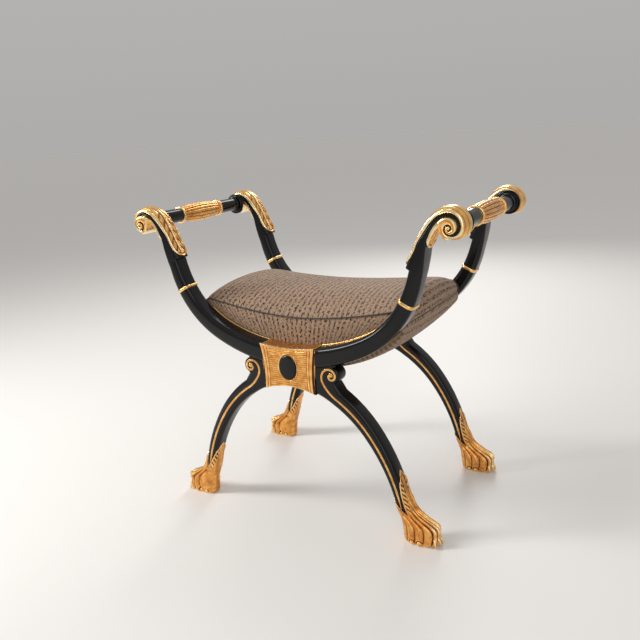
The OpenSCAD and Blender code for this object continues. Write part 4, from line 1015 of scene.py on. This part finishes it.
tablet = {
    "thick": 4.0, "waistHalf": 57.5, "waistZ": 325.33, "sideRadius": 247.8, "topRadius": 366.5,
    # heights over the block, and rows of height, middle and width for what is raised or cut beside the edges
    "strip": 3.1, "strips": [(0.9, 3.2, 3.1), (0.6, 9.4, 2.4)], "stripEnd": 12.8, "flare": 0.35,
    "stripCuts": [(0.5, 12.6, 0.5), (0.6, 6.7, 0.5)],
    "mould": 2.6, "moulds": [(1.35, 9.0, 3.6), (0.8, 15.0, 1.6), (0.9, 2.2, 2.4)], "mouldEnd": 17.0,
    "field": 2.7, "reed": 4.6, "reedHeight": 0.55, "waver": 0.12,
    "oval": 2.9, "ovalEnd": 1.16, "ovalRim": [(0.9, 1.10, 0.055)], "softEdge": 1.6,
    # tones by relief: dirt and painted shade in hollows, rubbed gold and a painted highlight on crests
    "wearAndShading": {"passes": 8, "dark": 1.0, "bright": 0.7, "base": 0.62}, "sharp": 50,
}
cap = {
    "half": 63.5, "blockTopRadius": 369.5, "thick": 2.4, "sunk": 0.4, "front": 3.4, "rear": 0.2,
    "bar": 6.4, "barHeight": 0.45, "shoulder": (-1.6, 21.9),
}
medallion = {"half": 20.5, "tall": 26.0, "middle": 344.5, "thick": 3.0, "sunk": 2.6, "rim": 0.12}


def softened(edge, width):
    # A quarter circle over the given width from an edge
    return np.sqrt(np.clip(1 - (1 - np.clip(edge, 0, width) / width) ** 2, 0, 1))


def tabletFront():
    # A field between the arch and the arms' upper edge. Heights follow the distance to the nearest edge
    u = np.linspace(-1, 1, 150)[:, None]
    w = np.linspace(0, 1, 150)[None, :]
    x = u * tablet["waistHalf"] + 0 * w
    for attempt in range(4):
        z = archZ(x) + (topZ(x, tablet["topRadius"]) - archZ(x)) * w
        radius = tablet["sideRadius"]
        half = tablet["waistHalf"] + radius - np.sqrt(radius**2 - (z - tablet["waistZ"]) ** 2)
        x = u * half
    fromSide, fromTop = half - np.abs(x), topZ(x, tablet["topRadius"]) - z
    flare = 1 + tablet["flare"] * w**3
    strips = tablet["strip"] + summed(ridge, fromSide / flare, tablet["strips"])
    for deep, place, width in tablet["stripCuts"]:
        strips = strips - deep * bump(fromSide, place * flare, width)
    reeds = np.abs(np.sin(math.pi * z / tablet["reed"])) ** 0.6
    waver = np.sin(x * 0.9 + z * 2.1) * np.sin(x * 0.37)
    height = tablet["field"] + tablet["reedHeight"] * reeds + tablet["waver"] * waver
    mould = tablet["mould"] + summed(ridge, fromTop, tablet["moulds"])
    height = np.where(fromTop < tablet["mouldEnd"], mould, height)
    height = np.where(fromSide < tablet["stripEnd"] * flare, strips, height)
    toOval = np.hypot(x / medallion["half"], (z - medallion["middle"]) / medallion["tall"])
    height = np.where(toOval < tablet["ovalEnd"], tablet["oval"], height)
    height = height + summed(ridge, toOval, tablet["ovalRim"])
    edge = np.minimum(np.minimum(fromSide, z - archZ(x)), fromTop + 1.2)
    height = height * (0.35 + 0.65 * softened(edge, tablet["softEdge"]))
    front = grid(x, -bench["halfDepth"] - height, z)
    behind = grid(x[:, [-1, 0]], 0.5 - bench["halfDepth"], z[:, [-1, 0]])
    return ringShape(np.concatenate([front, behind], axis=1))


def tabletCap():
    # A strip over the block's top, in bars that run from side to side
    x = np.linspace(-cap["half"], cap["half"], 100)[:, None]
    y = np.linspace(-bench["halfDepth"] - cap["front"], bench["halfDepth"] + cap["rear"], 44)[None, :]
    bars = cap["barHeight"] * np.abs(np.cos(math.pi * (y + 3) / cap["bar"])) ** 0.6
    shoulder = ridge(y, *cap["shoulder"]) ** 0.35
    thick = (cap["thick"] + bars) * shoulder * softened(cap["half"] - np.abs(x), tablet["softEdge"])
    blockTop = topZ(x, cap["blockTopRadius"])
    outer, inner = grid(x, y, blockTop + thick), grid(x, y[:, [-1, 0]], blockTop - cap["sunk"])
    return ringShape(np.concatenate([outer, inner], axis=1))


def makeMedallion():
    centre = (0, medallion["middle"])
    base = -bench["halfDepth"] - medallion["sunk"]
    out = medallion["thick"] + tablet["thick"] - medallion["sunk"]
    rim = medallion["rim"]
    rows = [(1.0, 0.0), (1.0, 0.45)]
    rows += [(1 - rim * t, 0.45 + 0.40 * math.sin(t * math.pi / 2)) for t in np.linspace(0.1, 1, 8)]
    rows += [((1 - rim) * (1 - t), 0.85 + 0.15 * (1 - (1 - t) ** 2)) for t in np.linspace(0.08, 0.97, 14)]
    outline = oval(centre, medallion["half"], medallion["tall"], 96)
    return dome(outline, centre, np.array(rows) * [1, -out] + [0, base])


tabletShape = agedAndShaded(joined([tabletFront(), tabletCap()]), **tablet["wearAndShading"])
ovalShape = makeMedallion()
for faceName, face in faces.items():
    addPiece(f"{faceName}_gilt_tablet", placed(tabletShape, 1, face), "gilding", f"{faceName}_tablet",
             sharp=tablet["sharp"])
    addPiece(f"{faceName}_black_medallion", placed(ovalShape, 1, face), "ebonised_wood", f"{faceName}_medallion")
print("tablets done")


rail = {
    "fromEye": (2.0, 3.2),      # from the eye of the volute to the rail's middle
    "flange": 25.0, "flangeThick": 3.2, "cove": 8.0, "coveRadius": 18.6, "collar": 17.4, "bead": 2.6, "rod": 16.0,
    "flangeRound": 1.6, "dish": 3.4, "dishDeep": 0.9, "dishStart": 2.6, "gap": 0.3,
    "beadFoot": 0.6, "beadLength": 4.2, "rodStart": 4.6,
    "tenon": 6.0, "tenonOut": -5.0, "tenonIn": 30.0, "start": 4.0, "sharp": 35,
}
barrel = {
    "half": 66.0, "ring": 6.0, "ringProud": 2.8, "bore": 6.2, "end": 17.0, "middle": 21.5,
    "reeds": 16, "reedHeight": 2.5, "sharp": 45,
    # both tone by relief: dirt and painted shade in hollows, rubbed gold and a painted highlight on crests
    "wearAndShading": {"passes": 16, "dark": 0.7, "bright": 0.5}, "ringWearAndShading": {"passes": 4, "base": 0.78},
}
railMiddle = placeOn(armPath, armEye)[:2] + rail["fromEye"]


def makeHandrail():
    # A profile of flange, dish, cove, bead and rod, with a tenon at either end
    start = bench["halfDepth"] + rail["start"]
    shoulder = bench["frameY"] - barrel["half"] - barrel["ring"]
    t = np.linspace(0, 1, 10)
    quarter = math.pi / 2 * t
    flange, thick, rounding = rail["flange"], rail["flangeThick"], rail["flangeRound"]
    cove = start + thick + rail["gap"]
    bead = cove + rail["cove"]
    rod = bead + rail["rodStart"]
    dish = start + thick - rail["dishDeep"] * np.sin(math.pi * t) + rail["gap"] * t
    parts = [(flange - rounding + rounding * np.sin(2 * quarter), start + thick * t),
             (flange - rail["dishStart"] - rail["dish"] * t, dish),
             (rail["coveRadius"] + (rail["collar"] - rail["coveRadius"]) * np.sin(quarter),
              cove + rail["cove"] * (1 - np.cos(quarter))),
             (rail["rod"] + rail["beadFoot"] + rail["bead"] * np.sin(math.pi * t) ** 0.7,
              bead + rail["beadLength"] * t),
             (rail["rod"] + 0 * t, rod + (shoulder - rod) * t)]
    inner = [[rail["tenon"], rail["tenonOut"]], [rail["tenon"], start]]
    outer = [[rail["tenon"], shoulder], [rail["tenon"], shoulder + rail["tenonIn"]]]
    return turned(np.concatenate([inner] + [np.stack(part, axis=-1) for part in parts] + [outer]), railMiddle)


def makeBarrel():
    # Reeds round a swelling barrel: each is a half round that closes in at both ends
    y = barrel["half"] * np.sin(np.linspace(-math.pi / 2, math.pi / 2, 90))[:, None]
    a = circle(barrel["reeds"] * 14)[None, :]
    swell = barrel["end"] + (barrel["middle"] - barrel["end"]) * np.cos(math.pi / 2 * y / barrel["half"])
    part = a * barrel["reeds"] / (2 * math.pi)
    reed = ridge(part - np.floor(part), 0.5, 0.47) ** 0.9
    close = ridge(y, 0, barrel["half"] + 0.4) ** 0.35
    radius = swell - barrel["reedHeight"] * (1 - reed * close)
    return ringShape(grid(railMiddle[0] + radius * np.cos(a), y, railMiddle[1] + radius * np.sin(a)))


def makeBarrelRing():
    t = np.linspace(0, math.pi, 16)
    edge = barrel["half"] + barrel["ring"] * (1 - np.cos(t)) / 2
    profile = np.stack([barrel["end"] - 0.2 + barrel["ringProud"] * np.sin(t) ** 0.7, edge], axis=-1)
    ends = [[[barrel["bore"], barrel["half"] + out]] for out in (0, barrel["ring"])]
    return turned(np.concatenate([ends[0], profile, ends[1]]), railMiddle)


addCorners("handrail_turned", makeHandrail(), "ebonised_wood", "handrail", sharp=rail["sharp"])
barrelShape = agedAndShaded(makeBarrel(), **barrel["wearAndShading"])
ringPair = agedAndShaded(joined([makeBarrelRing(), mirrored(makeBarrelRing(), y=-1)]), **barrel["ringWearAndShading"])
barrelPieces = ("reeded_barrel", barrelShape, "barrel"), ("barrel_gilt_rings", ringPair, "barrel_rings")
for sideName, side in sides.items():
    for name, shape, node in barrelPieces:
        addPiece(f"{sideName}_{name}", mirrored(shape, x=side), "gilding", f"{sideName}_{node}",
                 sharp=barrel["sharp"])
print("handrails done")


bead = {"radius": 1.5, "lean": math.radians(33), "start": 4.0, "end": 239.0, "relief": 0.78}


def makeBeads():
    # A thin bar on the rounded edge of each arm, beside the seat
    d = np.linspace(armBase + bead["start"], bead["end"], 110)
    a = circle(10)
    off = arm["edge"] + bench["clear"] + bead["radius"]
    across = (armHalf(d) - arm["edge"] + off * math.cos(bead["lean"]))[:, None] + bead["radius"] * np.cos(a)
    depth = bench["halfDepth"] - arm["edge"] + off * math.sin(bead["lean"]) + bead["radius"] * np.sin(a)
    right = ringShape(carry(walk(armPath, d), across, depth), bead["relief"])
    return joined([right, mirrored(right, x=-1)])


addFaces("gilt_bead", makeBeads(), "gilding", "bead")


seat = {
    "seamY": 149.3, "borderY": 152.6, "seamZ": 437.36, "crown": 47.0, "crownPower": 0.6,
    "noseBack": 3.0, "noseOver": 12.8, "noseEdge": 19.0, "noseMiddle": 36.0, "noseEnd": -20.0, "dishPower": 1.7,
    "railTop": 8.5, "padGap": 8.06, "railHalf": 13.5, "railClear": 0.6, "end": 238.58, "wrap": (66.0, 24.0),
    "start": 0.94,         # the pad starts at this share of its crown, and swells
    "pressure": 4.0, "quality": 6, "cap": 6.0, "frames": 20,
    "borderBulge": 3.2,    # the border bulges within the first part of its height, one over this
    "clothBelow": 400.0, "clothBelowHalf": 100.0,       # cloth coordinates under the pad, out of sight
    "pipingRadius": 1.5, "twist": 0.07, "twistTurn": 1.3, "sharp": 60,
}
endTurn = math.degrees(placeOn(armPath, seat["end"])[2])
railEnd = beside(armPath, np.array([seat["end"]]), np.array([seat["railTop"] - seat["railHalf"]]))[0]
noseX, noseZ = railEnd[0] - seat["noseBack"], railEnd[1] + seat["noseOver"]
# the pad's top meets the nose with its own slope: dishPower times the rise over the run
noseTop = 90 + math.degrees(math.atan(seat["dishPower"] * (noseZ + seat["noseEdge"] - seat["seamZ"]) / noseX))


def crownShare(v):
    return np.clip(1 - v**2, 0, 1) ** seat["crownPower"]


def nosePoint(f, degrees):
    grown = (seat["noseMiddle"] - seat["noseEdge"]) * f
    a = np.radians(degrees)
    radius = seat["noseEdge"] + grown
    return noseX - grown / 3 + radius * np.cos(a), noseZ + seat["crown"] * 0.6 * f - grown + radius * np.sin(a)


def padTop(f, flatCount=44, noseCount=30):
    # From the middle of the seat to its right end: a dished power curve, then an arc over the nose
    f = np.asarray(f, float)[..., None]
    endX, endZ = nosePoint(f, noseTop)
    part = np.linspace(0, 1, flatCount, endpoint=False)
    middle = seat["seamZ"] + seat["crown"] * f
    over = nosePoint(f, np.linspace(noseTop, seat["noseEnd"], noseCount))
    flat = endX * part, middle + (endZ - middle) * part ** seat["dishPower"]
    return np.stack([np.append(low, high, axis=-1) for low, high in zip(flat, over)], axis=-1)


def roundRail(radius, turn):
    # Places round the end rail, by radius and by turn in degrees
    a = np.radians(turn)
    return railEnd + np.asarray(radius)[..., None] * np.stack([np.cos(a), np.sin(a)], axis=-1)


def padBase(flatCount=56, wrapCount=18):
    d = np.linspace(0, seat["end"] - 8, flatCount)
    flat = beside(armPath, d, np.full(flatCount, seat["railTop"] + seat["padGap"]))
    wrap = np.linspace(endTurn + seat["wrap"][0], seat["wrap"][1], wrapCount)
    return np.concatenate([flat, roundRail(seat["railHalf"] + seat["railClear"], wrap)])


def bothSides(half):
    # A path from the middle to the right end, with its mirror image before it
    return np.concatenate([half[..., :0:-1, :] * [-1, 1], half], axis=-2)


def arcAlong(path):
    return np.append(0, np.cumsum(np.linalg.norm(np.diff(path, axis=0), axis=1)))


def makeCushion():
    # Loops across the seat: over the top from seam to seam, down a border, back under the base and up
    even = np.linspace(-1, 1, 46)
    v = 0.5 * np.sin(even * math.pi / 2) + 0.5 * even
    top = bothSides(padTop(crownShare(v) * seat["start"]))
    base, seam = bothSides(padBase()), bothSides(padTop(0.0))
    b = np.linspace(0, 1, 11)[1:]
    bulge = np.sin(np.clip(b * seat["borderBulge"], 0, 1) * math.pi / 2)
    bulge = seat["seamY"] + (seat["borderY"] - seat["seamY"]) * bulge
    border = seam[None] + (base - seam)[None] * b[:, None, None]
    rear = grid(border[..., 0], bulge[:, None], border[..., 1])
    across = np.linspace(1, -1, 18)[1:-1]
    under = grid(base[:, 0], across[:, None] * seat["borderY"], base[:, 1])
    rings = [grid(top[..., 0], v[:, None] * seat["seamY"], top[..., 1]), rear, under, rear[::-1] * [1, -1, 1]]
    rings = np.concatenate(rings, axis=0).transpose(1, 0, 2)
    # the cloth's own coordinates: along the seat, and across it from the middle and down the borders
    count = len(base)
    down = seat["seamY"] + np.linalg.norm(base - seam, axis=1)[:, None] * b
    below = seat["clothBelow"] + across * seat["clothBelowHalf"]
    clothY = np.concatenate([np.tile(v * seat["seamY"], (count, 1)), down, np.tile(below, (count, 1)),
                             -down[:, ::-1]], axis=1)
    held = np.zeros(rings.shape[:2])
    held[:, [0, len(v) - 1]] = 1
    held[:, len(v) + 8:-9] = 1
    held[[0, -1]] = 1
    return rings, grid(arcAlong(bothSides(padTop(0.5)))[:, None], clothY, 0), np.append(held.ravel(), [1, 1])


def plump(piece, held):
    # Cloth under pressure with its seams and base held. No point moves further than the cap
    mesh = piece.data
    rest = np.empty(len(mesh.vertices) * 3, np.float32)
    mesh.vertices.foreach_get("co", rest)
    piece.vertex_groups.new(name="held").add(np.flatnonzero(held > 0.5).tolist(), 1.0, "REPLACE")
    modifier = piece.modifiers.new("plump", "CLOTH")
    modifier.settings.quality = seat["quality"]
    modifier.settings.use_pressure = True
    modifier.settings.uniform_pressure_force = seat["pressure"]
    modifier.settings.vertex_group_mass = "held"
    modifier.settings.effector_weights.gravity = 0
    modifier.point_cache.frame_start, modifier.point_cache.frame_end = 1, seat["frames"]
    for number in range(1, seat["frames"] + 1):
        bpy.context.scene.frame_set(number)
    full = np.empty_like(rest)
    piece.evaluated_get(bpy.context.evaluated_depsgraph_get()).data.vertices.foreach_get("co", full)
    piece.modifiers.remove(modifier)
    bpy.context.scene.frame_set(1)
    move = (full - rest).reshape(-1, 3)
    far = np.linalg.norm(move, axis=1)[:, None]
    swollen = rest.reshape(-1, 3) + move * np.minimum(1, seat["cap"] * metre / np.maximum(far, 1e-9))
    swollen[:, 1] = np.clip(swollen[:, 1], -seat["borderY"] * metre, seat["borderY"] * metre)
    mesh.vertices.foreach_set("co", swollen.astype(np.float32).ravel())
    mesh.update()
    print("cushion swelled by up to", round(float(far.max() / metre), 1), "mm before the cap")


rings, cloth, heldPoints = makeCushion()
cushion = addPiece("seat_pad", ringShape(rings, cloth=cloth), "seat_fabric", "seat_cushion", sharp=seat["sharp"])
plump(cushion, heldPoints)
smooth = cushion.modifiers.new("smooth", "SUBSURF")
smooth.levels = smooth.render_levels = 1
print("cushion done")


def makePiping():
    # A cord round the seam, with a slow twist in its surface
    path = bothSides(padTop(0.0, 150, 60))
    long = arcAlong(path)
    even = np.linspace(0, long[-1], 420)
    x, z = (np.interp(even, long, path[:, k]) for k in range(2))
    places = np.stack([x, z, np.arctan2(np.gradient(z), np.gradient(x))], axis=-1)
    a = circle(12)
    radius = seat["pipingRadius"] * (1 + seat["twist"] * np.cos(2 * a - even[:, None] * seat["twistTurn"]))
    off = seat["pipingRadius"] + bench["clear"]
    depth = bench["frameY"] - seat["seamY"] - off + radius * np.sin(a)
    return ringShape(carry(places, off + radius * np.cos(a), depth))


addFaces("seam_piping", makePiping(), "piping", "piping")


underside = {
    "top": -19.1, "full": 10.4, "crown": 12.0, "overStretcher": 0.35, "endShare": 0.45, "blockWidth": 124.0,
    "hemTo": 23.4, "hemCrown": 11.5, "hemMiddle": 7.0, "hemOff": 2.0,       # round the end rail to the pad's end
    "clothShift": 60.0,        # sets the flecks apart from the pad's
}


def bellyN(d, f):
    # How far the padding hangs below the arms' middle line
    k = d / seat["end"]
    crown = underside["crown"] * f * np.interp(d, [0, underside["blockWidth"]], [underside["overStretcher"], 1])
    return underside["top"] - (underside["full"] + crown) * (1 - (1 - underside["endShare"]) * k**4)


def makeUnderside():
    v = np.linspace(-1, 1, 49)
    f = crownShare(v)[:, None]
    d = np.linspace(0, seat["end"], 90)
    hem = np.linspace(endTurn - 90, underside["hemTo"], 16)[1:]
    radius = seat["railHalf"] + seat["railClear"]
    edgeFull = seat["railTop"] - seat["railHalf"] - bellyN(np.array([[seat["end"]]]), f)
    hemOut, midOut = (radius + underside["hemOff"] + underside[key] * f for key in ("hemCrown", "hemMiddle"))
    hemRadius = np.where(hem < 0, edgeFull + (midOut - edgeFull) * (hem - hem[0]) / (0 - hem[0]),
                         midOut + (hemOut - midOut) * hem / underside["hemTo"])
    low = beside(armPath, np.tile(d, (len(v), 1)), bellyN(d[None], f))
    high = beside(armPath, d, np.full(len(d), underside["top"]))
    low = bothSides(np.append(low, roundRail(hemRadius, hem), axis=1))
    high = bothSides(np.append(high, roundRail(radius, hem), axis=0))
    below = grid(low[..., 0], v[:, None] * seat["borderY"], low[..., 1])
    above = grid(high[:, 0], np.linspace(1, -1, 6)[:, None] * seat["borderY"], high[:, 1])
    rings = np.concatenate([below, above], axis=0).transpose(1, 0, 2)
    clothY = np.append(v * seat["borderY"], np.full(6, seat["clothBelow"]))
    return ringShape(rings, cloth=grid(arcAlong(high)[:, None], clothY, underside["clothShift"]))


belly = addPiece("seat_padded_underside", makeUnderside(), "seat_fabric", "seat_underside", sharp=seat["sharp"])
print("seat done")


studio = {
    "floor": (0.78, 0.755, 0.72), "floorRoughness": 0.55, "floorReach": 60.0,
    "sky": [(0.02, (0.76, 0.745, 0.725)), (0.75, (1.0, 1.0, 1.0))], "skyStrength": 0.56,
    "camera": (0.790, -1.361, 0.814), "target": (-0.034, 0.0, 0.392), "roll": -3.8, "lens": 40.5, "sensor": 36.0,
    "lampTarget": (0, 0, 0.35),
    # place, power, width and height. Tall narrow lamps draw long streaks on the round edges
    "lamps": {"key": ((-1.9, -1.2, 1.9), 54.0, 0.5, 2.0), "fill": ((1.6, -2.2, 1.3), 14.0, 1.0, 2.6),
              "rim": ((-0.6, 2.2, 1.9), 26.0, 0.6, 2.2)},
}


def makeFloor():
    mesh = bpy.data.meshes.new("studio_floor")
    reach = studio["floorReach"]
    corners = [(-reach, -reach, 0), (reach, -reach, 0), (reach, reach, 0), (-reach, reach, 0)]
    mesh.from_pydata(corners, [], [(0, 1, 2, 3)])
    sockets = {"Roughness": studio["floorRoughness"], "Base Color": (*studio["floor"], 1)}
    mesh.materials.append(finish("studio_floor", sockets)[0])
    floor = bpy.data.objects.new("studio_floor", mesh)
    bpy.context.scene.collection.objects.link(floor)


def makeWorld():
    # Pale all round and brighter overhead, by the height of the direction that is looked in
    world = bpy.data.worlds.new("studio")
    bpy.context.scene.world = world
    world.use_nodes = True
    tree = world.node_tree
    background = tree.nodes["Background"]
    look = addNode(tree, "ShaderNodeTexCoord").outputs["Generated"]
    height = addNode(tree, "ShaderNodeSeparateXYZ", {"Vector": look}).outputs["Z"]
    tree.links.new(ramp(tree, height, studio["sky"]), background.inputs["Color"])
    background.inputs["Strength"].default_value = studio["skyStrength"]


def aimed(place, target):
    return (Vector(target) - Vector(place)).to_track_quat("-Z", "Y")


def addLamp(name, place, power, width, height):
    lamp = bpy.data.lights.new(name, "AREA")
    lamp.shape = "RECTANGLE"
    lamp.energy, lamp.size, lamp.size_y = power, width, height
    lampObject = bpy.data.objects.new(name, lamp)
    lampObject.location = place
    lampObject.rotation_euler = aimed(place, studio["lampTarget"]).to_euler()
    bpy.context.scene.collection.objects.link(lampObject)


def addCamera():
    data = bpy.data.cameras.new("camera")
    data.lens, data.sensor_width = studio["lens"], studio["sensor"]
    cameraObject = bpy.data.objects.new("camera", data)
    aim = aimed(studio["camera"], studio["target"]).to_matrix().to_4x4()
    rolled = aim @ Matrix.Rotation(math.radians(studio["roll"]), 4, "Z")
    cameraObject.matrix_world = Matrix.Translation(studio["camera"]) @ rolled
    bpy.context.scene.collection.objects.link(cameraObject)
    bpy.context.scene.camera = cameraObject


makeFloor()
makeWorld()
for lampName, lampSettings in studio["lamps"].items():
    addLamp(lampName, *lampSettings)
addCamera()
bpy.context.scene.view_settings.view_transform = "Standard"
